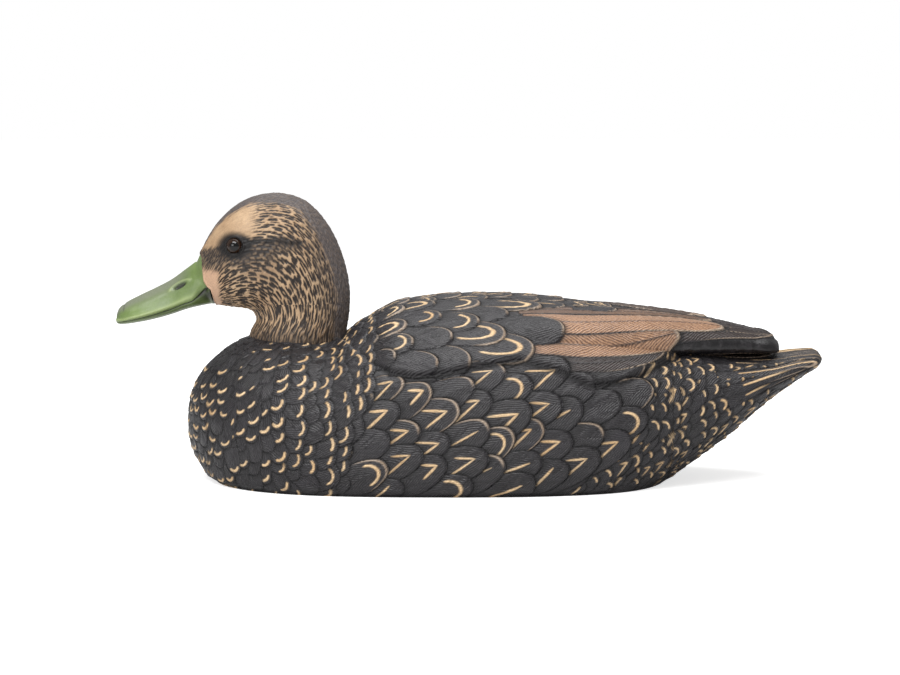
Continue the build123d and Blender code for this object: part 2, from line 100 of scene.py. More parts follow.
def between(low, high, soft, value):
    return smooth(low - soft, low + soft, value) * smooth(high + soft, high - soft, value)


def signed_power(value, exponent):
    return np.sign(value) * np.abs(value) ** exponent


def running(steps):
    """Distance along a line at each of its points, from the lengths of its steps."""
    return np.concatenate([[0], np.cumsum(steps)])


def hash_noise(i, j, seed):
    n = (i.astype(np.int64) * 374761393 + j.astype(np.int64) * 668265263 + seed * 1442695041) & 0x7FFFFFFF
    n = ((n ^ (n >> 13)) * 1274126177) & 0x7FFFFFFF
    return ((n ^ (n >> 16)) & 0xFFFF) / 65535.0


def noise2(x, y, seed=0):
    """Value noise, 0 to 1."""
    xi, yi = np.floor(x), np.floor(y)
    fx, fy = x - xi, y - yi
    fx, fy = fx * fx * (3 - 2 * fx), fy * fy * (3 - 2 * fy)
    xi, yi = xi.astype(np.int64), yi.astype(np.int64)
    a, b = hash_noise(xi, yi, seed), hash_noise(xi + 1, yi, seed)
    c, d = hash_noise(xi, yi + 1, seed), hash_noise(xi + 1, yi + 1, seed)
    return (a * (1 - fx) + b * fx) * (1 - fy) + (c * (1 - fx) + d * fx) * fy


def segment_distance(a, b, p, q):
    """Distance of points (a, b) from the segment p to q."""
    px, py = p
    dx, dy = q[0] - px, q[1] - py
    t = np.clip(((a - px) * dx + (b - py) * dy) / (dx * dx + dy * dy), 0, 1)
    return np.hypot(a - px - t * dx, b - py - t * dy), t


# ---------------- grids
class Grid:
    """Points of a rows x columns surface, with the paint and relief that is laid on them."""

    def __init__(self, points, closed):
        self.points = points
        self.closed = closed
        du = np.gradient(points, axis=0)
        if closed:
            dv = (np.roll(points, -1, axis=1) - np.roll(points, 1, axis=1)) / 2
        else:
            dv = np.gradient(points, axis=1)
        normal = np.cross(du, dv)
        size = np.linalg.norm(normal, axis=2, keepdims=True)
        self.normal = normal / np.maximum(size, 1e-9)
        count = len(self.flat_points())
        self.height = np.zeros(count)
        self.fields = {name: np.zeros(count) for name in FIELDS}

    def flat_points(self):
        return self.points.reshape(-1, 3)

    def flat_normals(self):
        return self.normal.reshape(-1, 3)


FIELDS = ("tan", "rust", "pale", "groove", "tone", "along", "across")
UV_MARGIN = 0.01


def make_mesh(name, grid, material, flip=False, cap_ends=False):
    rows, columns = grid.points.shape[:2]
    verts = (grid.flat_points() + grid.flat_normals() * grid.height[:, None]) * MM
    index = np.arange(rows * columns).reshape(rows, columns)
    if grid.closed:
        right = np.roll(index, -1, axis=1)
        a, b, c, d = index[:-1], right[:-1], right[1:], index[1:]
    else:
        a, b, c, d = index[:-1, :-1], index[:-1, 1:], index[1:, 1:], index[1:, :-1]
    faces = np.stack([a, b, c, d], axis=-1).reshape(-1, 4)
    if flip:
        faces = faces[:, ::-1]
    mesh = bpy.data.meshes.new(name)
    mesh.vertices.add(len(verts))
    mesh.vertices.foreach_set("co", verts.ravel())
    corners = [faces.ravel()]
    if cap_ends:
        corners += [index[0], index[-1][::-1]] if flip else [index[0][::-1], index[-1]]
    sizes = [4] * len(faces) + [len(ring) for ring in corners[1:]]
    mesh.loops.add(sum(sizes))
    mesh.polygons.add(len(sizes))
    mesh.loops.foreach_set("vertex_index", np.concatenate(corners).astype(np.int32))
    mesh.polygons.foreach_set("loop_start", np.cumsum([0] + sizes[:-1]).astype(np.int32))
    mesh.update(calc_edges=True)
    mesh.validate()
    mesh.polygons.foreach_set("use_smooth", np.ones(len(mesh.polygons), bool))
    for field, values in grid.fields.items():
        layer = mesh.attributes.new(field, "FLOAT", "POINT")
        layer.data.foreach_set("value", values.astype(np.float32))
    uv = mesh.uv_layers.new(name="OFBake")
    u = np.repeat(np.linspace(UV_MARGIN, 1 - UV_MARGIN, rows), columns)
    v = np.tile(np.linspace(UV_MARGIN, 1 - UV_MARGIN, columns), rows)
    vertex = np.empty(len(mesh.loops), np.int32)
    mesh.loops.foreach_get("vertex_index", vertex)
    coords = np.stack([u[vertex], v[vertex]], axis=1)
    if grid.closed:
        # The last column of faces runs to the far edge and not back across the map.
        loop_v = coords[:faces.size, 1].reshape(-1, 4)
        wraps = (loop_v.max(axis=1) - loop_v.min(axis=1)) > 0.5
        fixed = np.where(wraps[:, None] & (loop_v < 0.5), 1 - UV_MARGIN / 2, loop_v)
        coords[:faces.size, 1] = fixed.ravel()
    uv.data.foreach_set("uv", coords.astype(np.float32).ravel())
    obj = bpy.data.objects.new(name, mesh)
    bpy.context.scene.collection.objects.link(obj)
    mesh.materials.append(material)
    return obj


# ---------------- hull form
# Stations from bow to tail: place along the body, half width, top, widest height and lowest height.
STATIONS = np.array((
    (0.000, 0.00, 0.335, 0.335, 0.335),
    (0.004, 0.15, 0.450, 0.33, 0.210),
    (0.015, 0.30, 0.545, 0.34, 0.120),
    (0.037, 0.47, 0.645, 0.35, 0.010),
    (0.065, 0.61, 0.725, 0.35, -0.12),
    (0.100, 0.73, 0.780, 0.35, -0.24),
    (0.170, 0.875, 0.787, 0.35, -0.40),
    (0.235, 0.945, 0.780, 0.35, -0.46),
    (0.275, 0.97, 0.880, 0.35, -0.46),
    (0.320, 0.99, 0.945, 0.36, -0.46),
    (0.385, 1.00, 0.985, 0.36, -0.46),
    (0.470, 1.00, 1.000, 0.37, -0.46),
    (0.570, 0.965, 0.980, 0.38, -0.42),
    (0.660, 0.89, 0.925, 0.40, -0.28),
    (0.745, 0.77, 0.840, 0.44, -0.03),
    (0.800, 0.67, 0.770, 0.48, 0.110),
    (0.860, 0.56, 0.710, 0.53, 0.265),
    (0.920, 0.455, 0.690, 0.59, 0.450),
    (0.970, 0.375, 0.708, 0.645, 0.575),
    (0.992, 0.31, 0.715, 0.665, 0.620),
    (1.000, 0.24, 0.705, 0.672, 0.645),
))
# Chord length along the profile keeps the spline calm where the bow turns.
run = running(np.hypot(np.diff(STATIONS[:, 0]) * BODY_LENGTH, np.diff(STATIONS[:, 1]) * HALF_BEAM))
hull_x = spline(run, STATIONS[:, 0] * BODY_LENGTH)
hull_w = spline(run, STATIONS[:, 1] * HALF_BEAM)
hull_top = spline(run, STATIONS[:, 2] * BACK)
hull_mid = spline(run, STATIONS[:, 3] * BACK)
hull_low_z = spline(run, STATIONS[:, 4] * BACK)
HULL_ROWS, HULL_COLUMNS = 620, 641
WING_ROWS, WING_COLUMNS = 330, 200
BOW_START = 0.3         # first section, in mm along the profile
UPPER_POWER, LOWER_POWER = 2.0, 2.3


def hull_grid(rows, columns):
    """Right round the hull's skin from its left bottom edge over the back to the right one."""
    points = np.zeros((rows, columns, 3))
    angles = np.linspace(-math.pi / 2, math.pi / 2, 900)
    cosine, sine = np.cos(angles), np.sin(angles)
    power = np.where(sine >= 0, UPPER_POWER, LOWER_POWER)
    for r, place in enumerate(np.linspace(BOW_START, run[-1], rows)):
        w, top, mid, low = (float(f(place)) for f in (hull_w, hull_top, hull_mid, hull_low_z))
        reach = np.where(sine >= 0, top - mid, mid - low)
        y = w * np.abs(cosine) ** (2 / power)
        z = mid + reach * signed_power(sine, 2 / power)
        keep = z >= 0
        if not keep.all():
            first = int(np.argmax(keep))
            y0 = np.interp(0.0, z[first - 1:first + 1], y[first - 1:first + 1])
            y = np.concatenate([[y0], y[keep]])
            z = np.concatenate([[0.0], z[keep]])
        length = running(np.hypot(np.diff(y), np.diff(z)))
        full_y = np.concatenate([-y, y[::-1][1:]])
        full_z = np.concatenate([z, z[::-1][1:]])
        full_l = np.concatenate([length, 2 * length[-1] - length[::-1][1:]])
        t = np.linspace(0, full_l[-1], columns)
        points[r, :, 0] = BOW_X + float(hull_x(place))
        points[r, :, 1] = np.interp(t, full_l, full_y)
        points[r, :, 2] = np.interp(t, full_l, full_z)
    return points


# ---------------- folded wings
# Place along the body, middle and half width from the midline, top and underside.
WING = np.array((
    (0.300, 0.44, 0.05, 0.790, 0.730),
    (0.360, 0.43, 0.14, 0.860, 0.750),
    (0.440, 0.42, 0.24, 0.930, 0.760),
    (0.520, 0.41, 0.31, 0.962, 0.745),
    (0.620, 0.37, 0.33, 0.958, 0.735),
    (0.720, 0.31, 0.29, 0.930, 0.730),
    (0.820, 0.235, 0.205, 0.878, 0.725),
    (0.890, 0.175, 0.140, 0.822, 0.722),
    (0.928, 0.145, 0.105, 0.785, 0.715),
    (0.9335, 0.140, 0.080, 0.770, 0.718),
))
wing_of = [spline(WING[:, 0] * BODY_LENGTH, WING[:, k] * (HALF_BEAM if k < 3 else BACK)) for k in range(1, 5)]
WING_WIDEST = 0.42      # height of the widest line, as a part of the thickness
WING_POWER = 0.85
WING_TILT = 0.16        # the outer edge lies lower, as the wing is folded over the rump


def wing_grid(side, rows, columns):
    points = np.zeros((rows, columns, 3))
    angles = np.linspace(0, 2 * math.pi, columns, endpoint=False)
    cosine, sine = np.cos(angles), np.sin(angles)
    for r, x in enumerate(np.linspace(WING[0, 0], WING[-1, 0], rows) * BODY_LENGTH):
        centre, width, top, low = (float(f(x)) for f in wing_of)
        mid = low + WING_WIDEST * (top - low)
        y = width * signed_power(cosine, WING_POWER)
        z = mid + np.where(sine >= 0, top - mid, mid - low) * signed_power(sine, WING_POWER)
        points[r, :, 0] = BOW_X + x
        points[r, :, 1] = side * (centre + y)
        points[r, :, 2] = z - WING_TILT * y
    return points


# ---------------- feathers
class Painter:
    """Lays feathers on several grids at once. A later feather lies over the earlier ones."""

    CELL = 7.0           # mm
    CELLS = 4096         # more than there are in any direction
    FIRST_CELL = 64      # so that no cell's number is negative

    def cells(self, points):
        return np.floor(points / self.CELL).astype(np.int64) + self.FIRST_CELL

    def __init__(self, grids):
        self.grids = grids
        self.points = np.concatenate([g.flat_points() for g in grids])
        self.normals = np.concatenate([g.flat_normals() for g in grids])
        self.hull_count = len(grids[0].flat_points())
        self.height = np.zeros(len(self.points))
        self.fields = {name: np.zeros(len(self.points)) for name in FIELDS}
        cells = self.cells(self.points)
        keys = (cells[:, 0] * self.CELLS + cells[:, 1]) * self.CELLS + cells[:, 2]
        self.order = np.argsort(keys, kind="stable")
        self.keys = keys[self.order]

    def near(self, centre, radius):
        low, high = self.cells(centre - radius), self.cells(centre + radius)
        found = []
        for i in range(low[0], high[0] + 1):
            for j in range(low[1], high[1] + 1):
                base = (i * self.CELLS + j) * self.CELLS
                first = np.searchsorted(self.keys, base + low[2])
                last = np.searchsorted(self.keys, base + high[2], side="right")
                if last > first:
                    found.append(self.order[first:last])
        return np.concatenate(found) if found else np.zeros(0, int)

    def small(self, centre, normal, flow, length, half, hull_only=False, **style):
        """A feather whose visible middle is at centre, pointing along flow on the surface."""
        along = flow - normal * np.dot(flow, normal)
        along /= max(np.linalg.norm(along), 1e-6)
        across = np.cross(normal, along) * (1.0 if normal[1] < 0 else -1.0)
        index = self.near(centre, 0.75 * length + 0.3 * half)
        if hull_only:
            index = index[index < self.hull_count]
        if len(index) == 0:
            return
        offset = self.points[index] - centre
        facing = self.normals[index] @ normal > 0.15
        index, offset = index[facing], offset[facing]
        self.lay(index, offset @ along + 0.5 * length, offset @ across, length, half, **style)

    def lay(self, index, a, b, length, half, lift=0.9, tip=0.55, mark="none", rim=0.0, rim_side=0.0,
            blunt=2.2, rust=0.0, shaft=0.12, mark_width=0.75, carve=0.55):
        """Paints one feather on the points at index; a runs along it from the root and b across it."""
        start = length * (1 - tip)
        past = np.maximum(a - start, 0) / (length - start)
        q = past**blunt + np.abs(b / half) ** 2.4
        inside = (q < 1) & (a > 0)
        # Distance in from the outline, near enough for rims and rounding.
        edge = (1 - np.maximum(q, 1e-6) ** 0.45) * min(half, length - start)
        # Just outside the outline the surface below gets painted shade, as in the crevice under the
        # overlapping feather edge.
        out = (q >= 1) & (a > 0.2 * length)
        beyond = -edge[out]
        shade = index[out]
        self.fields["groove"][shade] = np.maximum(
            self.fields["groove"][shade], 0.9 * np.exp(-np.clip(beyond, 0, 9) / 0.8))
        index, a, b, edge = index[inside], a[inside], b[inside], edge[inside]
        if len(index) == 0:
            return
        t = np.clip(a / length, 0, 1)
        rise = lift * (0.15 + 0.85 * t**1.3) * (1 - 0.25 * (b / half) ** 2)
        rise *= smooth(-0.1, 0.8, edge)
        rise += shaft * bell(b, 0.45) * smooth(0.1, 0.4, t)
        tone = rng.uniform(0.0, 1.0)
        # Carved barbs sweep out and back from the shaft.
        barbs = noise2((a - 0.5 * np.abs(b)) / 5.0 + 37 * tone, (np.abs(b) - 0.35 * a) / 1.15 + 53 * tone, 5)
        rise += carve * (barbs - 0.5) * smooth(0.2, 1.4, edge)
        f = self.fields
        self.height[index] = rise
        f["groove"][index] = 0.0
        f["along"][index] = a
        f["across"][index] = np.abs(b)
        f["tone"][index] = np.clip(0.55 * tone + 0.75 * (barbs - 0.25), 0, 1)
        f["rust"][index] = rust * smooth(0.5, 1.3, edge) * (1 - 0.8 * bell(b, 0.5))
        f["tan"][index] = 0.0
        f["pale"][index] = 0.0
        if rim > 0:
            line = bell(edge - 0.6, 0.30 * rim) * smooth(0.45, 0.70, t)
            if rim_side > 0:
                line *= smooth(-0.35, 0.15, b / half)
            f["pale"][index] = line
            self.height[index] += 0.18 * line
        if mark != "none":
            d = mark_distance(mark, a / length, b / half, length, half)
            line = smooth(mark_width, 0.35 * mark_width, d)
            f["tan"][index] = line
            self.height[index] += 0.22 * line

    def share_out(self):
        start = 0
        for g in self.grids:
            n = len(g.flat_points())
            g.height = self.height[start:start + n].copy()
            g.fields = {k: v[start:start + n].copy() for k, v in self.fields.items()}
            start += n


# Straight marks: ends of each stroke, in shares of the feather's length and half width.
STRAIGHT_MARKS = {
    "seven": (((0.80, 0.10), (0.52, 0.42)), ((0.80, 0.10), (0.28, -0.58))),
    "hook": (((0.86, 0.02), (0.66, 0.40)), ((0.86, 0.02), (0.60, -0.32))),
    "vee": (((0.80, 0.0), (0.42, 0.48)), ((0.80, 0.0), (0.42, -0.48))),
    "stripe": (((0.22, 0.18), (0.97, 0.10)),),
    "dash": (((0.34, 0.0), (0.80, 0.02)),),
    "slash": (((0.76, 0.30), (0.42, -0.45)),),
}
# Curved marks: radii, middle, and where the stroke starts to fade, ends and is turned to, in radians.
CURVED_MARKS = {
    "loop": (0.34, 0.52, 0.46, 1.7, 2.3, 0.25),
    "cee": (0.24, 0.60, 0.58, 1.25, 1.7, 0.12),
}


def mark_distance(mark, a, b, length, half):
    """Distance in mm from a painted mark; a and b are shares of the feather's length and half width."""
    x, y = a * length, b * half
    if mark in STRAIGHT_MARKS:
        taper = 0.2 if mark == "stripe" else 0.45
        found = []
        for ends in STRAIGHT_MARKS[mark]:
            d, t = segment_distance(x, y, *((p[0] * length, p[1] * half) for p in ends))
            found.append(d + taper * np.abs(2 * t - 1) ** 3)
        return np.minimum.reduce(found)
    if mark == "tick":
        # A short thick crescent that follows the feather's tip.
        radius = 0.62 * half
        cx = 0.86 * length - radius
        angle = np.arctan2(y, x - cx)
        d = np.abs(np.hypot(x - cx, y) - radius)
        return d + 1.2 * smooth(0.85, 1.25, np.abs(angle - 0.15))
    along, across, middle, fade, end, turned = CURVED_MARKS[mark]
    rx, ry, cx = along * length, across * half, middle * length
    angle = np.arctan2(y / ry, (x - cx) / rx)
    d = np.abs(np.hypot((x - cx) / rx, y / ry) - 1) * min(rx, ry)
    return d + 1.2 * smooth(fade, end, np.abs(angle + turned))


# ---------------- plumage
FAR = 500  # mm or degrees, more than any real distance
hull = Grid(hull_grid(HULL_ROWS, HULL_COLUMNS), closed=False)
wings = {side: Grid(wing_grid(side, WING_ROWS, WING_COLUMNS), closed=True) for side in SIDES}


def outward(grid, centre=None):
    """Turns the grid's normals outwards, and says whether the faces need turning too."""
    if centre is None:
        centre = grid.points.mean(axis=1, keepdims=True)
    inward = np.sum(grid.normal * (grid.points - centre), axis=2).mean() < 0
    if inward:
        grid.normal = -grid.normal
    return inward


hull_flip = outward(hull, np.array([0.0, 0.0, 45.0]))
wing_flip = {side: outward(wings[side]) for side in SIDES}
paint = Painter([hull, wings[-1], wings[1]])


def wing_edge(x):
    """Height of the wing's lower edge on the side of the hull."""
    xs = (-70, -58, -44, -30, -12, 8, 30, 52, 70, 90, 108, 124, 140, 160, 190)
    zs = (84, 76, 70, 68, 70, 74, 77, 71, 63, 65, 72, 79, 82, 80, 75)
    return np.interp(x, xs, zs)


def pocket_edge(z):
    """Where the flank's long feathers end, along X."""
    return np.interp(z, (0, 8, 24, 38, 50, 60, 68), (78, 84, 97, 106, 111, 108, 98))


def row_at(x):
    return int(np.argmin(np.abs(hull.points[:, 0, 0] - x)))


def surface_at(x, z, side):
    """Point and normal of the hull's side at a place and a height."""
    row = row_at(x)
    half = hull.points.shape[1] // 2
    line = hull.points[row, :half + 1] if side < 0 else hull.points[row, half:]
    column = int(np.argmin(np.abs(line[:, 2] - z)))
    if side > 0:
        column += half
    return hull.points[row, column], hull.normal[row, column]


def top_at(x, y):
    """Point and normal of the hull's upper side at a place and a distance from the midline."""
    row = row_at(x)
    high = hull.points[row, :, 2] > 0.5 * hull.points[row, :, 2].max()
    distance = np.abs(hull.points[row, :, 1] - y) + FAR * ~high
    column = int(np.argmin(distance))
    return hull.points[row, column], hull.normal[row, column]


def jitter(size):
    """A random step of up to size either way."""
    return rng.uniform(-size, size)


def flow_at(point):
    """Which way the feathers point: away from the neck in front, back and a little up behind."""
    x, y, z = point
    from_neck = point - np.array([NECK_X + 12, 0.0, COLLAR_Z + 22])
    from_neck = from_neck / np.linalg.norm(from_neck)
    back = np.array([1.0, 0.0, 0.30 * smooth(-40, 60, x) + 0.12])
    blend = smooth(-135, -70, x)
    flow = (1 - blend) * from_neck + blend * back
    return flow / np.linalg.norm(flow)


def lattice(x0, x1, z0, z1, step_along, step_across, slope):
    """Staggered places in the side view, from the tail forward so that front feathers lie on top."""
    places = []
    direction = np.array([math.cos(slope), math.sin(slope)])
    sideways = np.array([-direction[1], direction[0]])
    centre = np.array([(x0 + x1) / 2, (z0 + z1) / 2])
    reach = int(max(x1 - x0, z1 - z0) / min(step_along, step_across)) + 2
    for i in range(-reach, reach + 1):
        for j in range(-reach, reach + 1):
            shift = (j % 2) * 0.5 * step_along
            p = centre + direction * (i * step_along + shift) + sideways * (j * step_across)
            if x0 <= p[0] <= x1 and z0 <= p[1] <= z1:
                places.append((p[0], p[1]))
    return sorted(places, key=lambda p: -p[0])


def rows_on_surface(x_from, x_to, step_x, step_girth, allowed, draw):
    """Rows of feathers by girth, from the tail forward; used where the hull turns a lot."""
    rows, columns = hull.points.shape[:2]
    centre_line = hull.points[:, columns // 4]
    length = running(np.linalg.norm(np.diff(centre_line, axis=0), axis=1))
    at = np.interp(np.arange(0, length[-1], step_x), length, np.arange(rows)).astype(int)
    for k, row in enumerate(at[::-1]):
        x = hull.points[row, columns // 2, 0]
        if not x_from <= x <= x_to:
            continue
        line = hull.points[row]
        girth = running(np.linalg.norm(np.diff(line, axis=0), axis=1))
        count = max(2, int(girth[-1] / step_girth))
        for i in range(count):
            t = (i + 0.5 + 0.5 * (k % 2)) / count * girth[-1] + jitter(0.15 * step_girth)
            column = int(np.clip(np.searchsorted(girth, t), 0, columns - 1))
            back_row = int(np.clip(row + rng.integers(-2, 3), 0, rows - 1))
            point, normal = hull.points[back_row, column], hull.normal[back_row, column]
            if allowed(point):
                draw(point, normal)


def undertail(point, normal):
    mark = ("tick", "tick", "tick", "seven", "cee")[rng.integers(5)]
    size = 1.0 + jitter(0.18)
    paint.small(point, normal, flow_at(point) + np.array([0, 0, 0.16 + jitter(0.2)]), 16 * size, 5.8 * size,
                mark=mark, lift=0.85, mark_width=0.85 + jitter(0.15), blunt=1.8, hull_only=True)


rows_on_surface(60, 204, 8.6, 8.8, lambda p: True, undertail)


# Tail feathers: long, narrow and overlapping, the middle one on top.
for side in SIDES:
    for z_rise, reach in ((-7.0, 58), (-3.5, 62), (0.0, 66), (3.5, 66)):
        point, normal = surface_at(176, 68 + z_rise, side)
        paint.small(point, normal, np.array([1.0, -0.12 * side, 0.40]), reach, 3.0, lift=0.5, tip=0.25,
                    rim=0.6, mark="stripe", mark_width=0.85, shaft=0.3, carve=0.25, hull_only=True)
for spread in (27, 22, 17, 12, 7, 0):
    for side in (SIDES if spread else (1,)):
        point, normal = top_at(186, side * spread * 0.82)
        paint.small(point, normal, np.array([1.0, -0.10 * side * spread / 27, 0.08]), 66, 4.6, lift=0.8,
                    tip=0.22, rim=0.6, shaft=0.4, mark="stripe", mark_width=0.8, carve=0.25, hull_only=True)


# Long wing feathers are laid along the wing in (x, angle round the body) so that they follow both surfaces.
ANGLE_MM = 1.25         # mm on the surface for each degree
AXIS_Z = 30             # height of the axis that the angles are taken round
WING_FLOOR = 52         # nothing of the long feathers lies lower


def round_angle(points):
    return np.degrees(np.arctan2(points[:, 2] - AXIS_Z, np.abs(points[:, 1]) + 0.001))


round_axis = round_angle(paint.points) * ANGLE_MM


def blade(side, path, half, rust, rim, lift=1.1):
    """A long feather along a path of (x, degrees) points."""
    near_side = paint.points[:, 1] * side > 0.5
    xs = [p[0] for p in path]
    pick = near_side & (paint.points[:, 0] > xs[0] - 2) & (paint.points[:, 0] < xs[-1] + 2)
    pick &= paint.points[:, 2] > WING_FLOOR
    index = np.nonzero(pick)[0]
    x, t = paint.points[index, 0], round_axis[index]
    best = np.full(len(index), np.inf)
    along = np.zeros(len(index))
    across = np.zeros(len(index))
    total = 0.0
    fine = np.linspace(xs[0], xs[-1], 24)
    line = spline(xs, [p[1] * ANGLE_MM for p in path])(fine)
    for k in range(len(fine) - 1):
        dx, dt = fine[k + 1] - fine[k], line[k + 1] - line[k]
        size = math.hypot(dx, dt)
        u = np.clip(((x - fine[k]) * dx + (t - line[k]) * dt) / size**2, -1e-9, 1)
        d = np.hypot(x - fine[k] - u * dx, t - line[k] - u * dt)
        closer = d < best
        best[closer] = d[closer]
        along[closer] = total + u[closer] * size
        sign = np.sign((t - line[k]) * dx - (x - fine[k]) * dt)
        across[closer] = (d * sign)[closer]
        total += size
    close = best < half * 1.5
    paint.lay(index[close], along[close], across[close], total, half, lift=lift,
              tip=min(0.9, 3.2 * half / total), rim=rim, rust=rust, shaft=0.35, blunt=1.8, carve=0.35)


for side in SIDES:
    # primaries
    for path, half in (
        (((84, 44), (120, 54), (150, 64), (181, 76)), 5.5),
        (((84, 52), (120, 60), (150, 69), (183, 80)), 5.5),
        (((80, 60), (120, 67), (150, 75), (184, 84)), 5.5),
        (((76, 70), (120, 75), (150, 81), (184, 88)), 6.0),
    ):
        blade(side, path, half, rust=0.06, rim=0.5)
    # secondaries and tertials, from the flank upwards
    for path, half, rust, rim in (
        (((34, 27), (62, 25), (86, 28), (102, 36)), 5.5, 0.0, 0.5),
        (((34, 34), (70, 33), (96, 38), (114, 46)), 5.5, 0.05, 0.5),
        (((30, 72), (70, 73), (110, 78), (138, 82)), 6.5, 0.15, 0.8),
        (((32, 42), (70, 42), (100, 47), (124, 55)), 8.0, 0.85, 1.0),
        (((30, 63), (70, 65), (110, 71), (146, 78)), 6.5, 0.45, 0.9),
        (((32, 52), (70, 53), (110, 60), (152, 69)), 8.2, 1.0, 1.0),
    ):
        blade(side, path, half, rust, rim, lift=1.5)

FLANK_MARKS = ("seven", "seven", "seven", "seven", "cee", "dash", "slash", "vee", "seven", "hook", "none")
for side in SIDES:
    for x, z in lattice(-84, 112, 3, 84, 21.0, 13.0, math.radians(21)):
        edge = float(wing_edge(x))
        if z > edge - 3 or x > float(pocket_edge(z)) - 15:
            continue
        point, normal = surface_at(x + jitter(4.0), z + jitter(2.2), side)
        mark = FLANK_MARKS[rng.integers(len(FLANK_MARKS))]
        big = z > edge - 16 or x > 60
        if big and rng.random() < 0.45:
            mark = "none"
        size = 1.0 + 0.16 * float(smooth(-60, 40, x)) + jitter(0.12)
        flow = np.array([1.0, 0.0, math.tan(math.radians(22 + jitter(8)))])
        rim = 0.8 if rng.random() < (0.75 if big else 0.3) else 0.0
        paint.small(point, normal, flow, 35 * size, 9.6 * size, mark=mark, lift=1.5, rim=rim,
                    rim_side=rng.choice((0.0, 1.0, 1.0)), mark_width=0.88 + jitter(0.18), blunt=1.7)

# Scapulars: place of the tip along X, degrees round the body, length, half width and mark.
SCAPULARS = (
    (56, 46, 44, 11.5, "none"),
    (44, 66, 44, 9.5, "loop"),
    (38, 37, 42, 11.0, "loop"),
    (24, 57, 38, 10.0, "none"),
    (22, 44, 38, 10.5, "loop"),
    (8, 67, 36, 9.5, "cee"),
    (7, 51, 36, 10.5, "cee"),
    (2, 31, 34, 10.5, "none"),
    (-8, 42, 32, 9.5, "none"),
    (-14, 56, 32, 9.0, "cee"),
    (-16, 30, 28, 8.5, "none"),
    (-18, 69, 30, 9.0, "loop"),
    (-30, 40, 28, 9.0, "cee"),
    (-34, 51, 30, 9.0, "loop"),
    (-35, 67, 26, 8.5, "cee"),
    (-40, 33, 22, 7.5, "none"),
    (-50, 47, 20, 7.0, "tick"),
    (-54, 60, 22, 7.0, "loop"),
)


def at_angle(x, degrees, side):
    """Point of the hull's side at an angle round the axis that the wing feathers use."""
    row = row_at(x)
    line = hull.points[row]
    wrong_side = line[:, 1] * side < 0
    column = int(np.argmin(np.abs(round_angle(line) - degrees) + FAR * wrong_side))
    return line[column], hull.normal[row, column]


# The mantle's middle rows lie between the two wings.
for row, x in enumerate(np.arange(74, -62, -15.0)):
    for y in ((-16, 0, 16) if row % 2 else (-24, -8, 8, 24)):
        point, normal = top_at(x, y)
        paint.small(point, normal, np.array([1.0, 0.0, 0.0]), 27, 8.5, lift=1.0, rim=0.7,
                    mark=("cee", "dash", "none")[rng.integers(3)], mark_width=0.6)
for side in SIDES:
    for x_tip, degrees, length, half, mark in SCAPULARS:
        point, normal = at_angle(x_tip - 0.5 * length, degrees + 2, side)
        paint.small(point, normal, np.array([1.0, 0.0, -0.13 + jitter(0.05)]), length, half, mark=mark,
                    lift=1.7, rim=1.0, rim_side=rng.choice((0.0, 1.0)), mark_width=0.8)


def breast(point, normal):
    size = 1.0 + 0.45 * float(smooth(-120, -66, point[0]))
    roll = rng.random()
    size *= 1.0 + jitter(0.15)
    mark = "tick" if roll < 0.62 else ("cee" if roll < 0.76 else "none")
    paint.small(point, normal, flow_at(point) + np.array([0, jitter(0.25), jitter(0.25)]), 15 * size,
                5.8 * size, mark=mark, lift=0.9, mark_width=0.95 + jitter(0.15))


def breast_place(point):
    x, y, z = point
    if x > -52 and z > wing_edge(x) - 6:
        return False
    return x < -74 + 14 * smooth(20, 70, z)


rows_on_surface(-170, -60, 8.0, 9.2, breast_place, breast)

# Front of the breast, where the hull faces forward: rows from the waterline up.
FACING_FORWARD = -0.55
front = np.nonzero(paint.normals[:paint.hull_count, 0] < FACING_FORWARD)[0]
for row, z in enumerate(np.arange(4.0, 74.0, 7.2)):
    for y in np.arange(-54 + 4.4 * (row % 2), 55, 8.8):
        off = np.abs(paint.points[front, 1:] - (y + jitter(1.6), z + jitter(1.2))).sum(axis=1)
        if off.min() < 1.5:
            spot = front[int(np.argmin(off))]
            breast(paint.points[spot], paint.normals[spot])

# ---------------- larger relief of the hull
p = hull.flat_points()
over = p[:, 2] - wing_edge(p[:, 0])
in_wing_run = smooth(-60, -40, p[:, 0]) * (1 - smooth(118, 140, p[:, 0]))
platform = 2.8 * smooth(-1.0, 2.6, over) * in_wing_run
valley = -1.6 * bell(over + 1.2, 2.2) * in_wing_run
pocket = 1.8 * smooth(-1.0, 3.0, pocket_edge(p[:, 2]) - p[:, 0]) * (over < 0)
paint.share_out()
hull.height += platform + valley + pocket
# The relief fades out at the bottom edge and on the thin tail.
hull.height *= smooth(0.0, 5.0, p[:, 2])
hull.height *= 1 - 0.55 * smooth(190, 207, p[:, 0])
# Painted shadow on the hull just under the wing's lower edge.
under_wing_shadow = 0.8 * bell(over + 0.6, 1.3) * in_wing_run * (np.abs(p[:, 1]) > 24)
hull.fields["groove"] = np.maximum(hull.fields["groove"], under_wing_shadow)


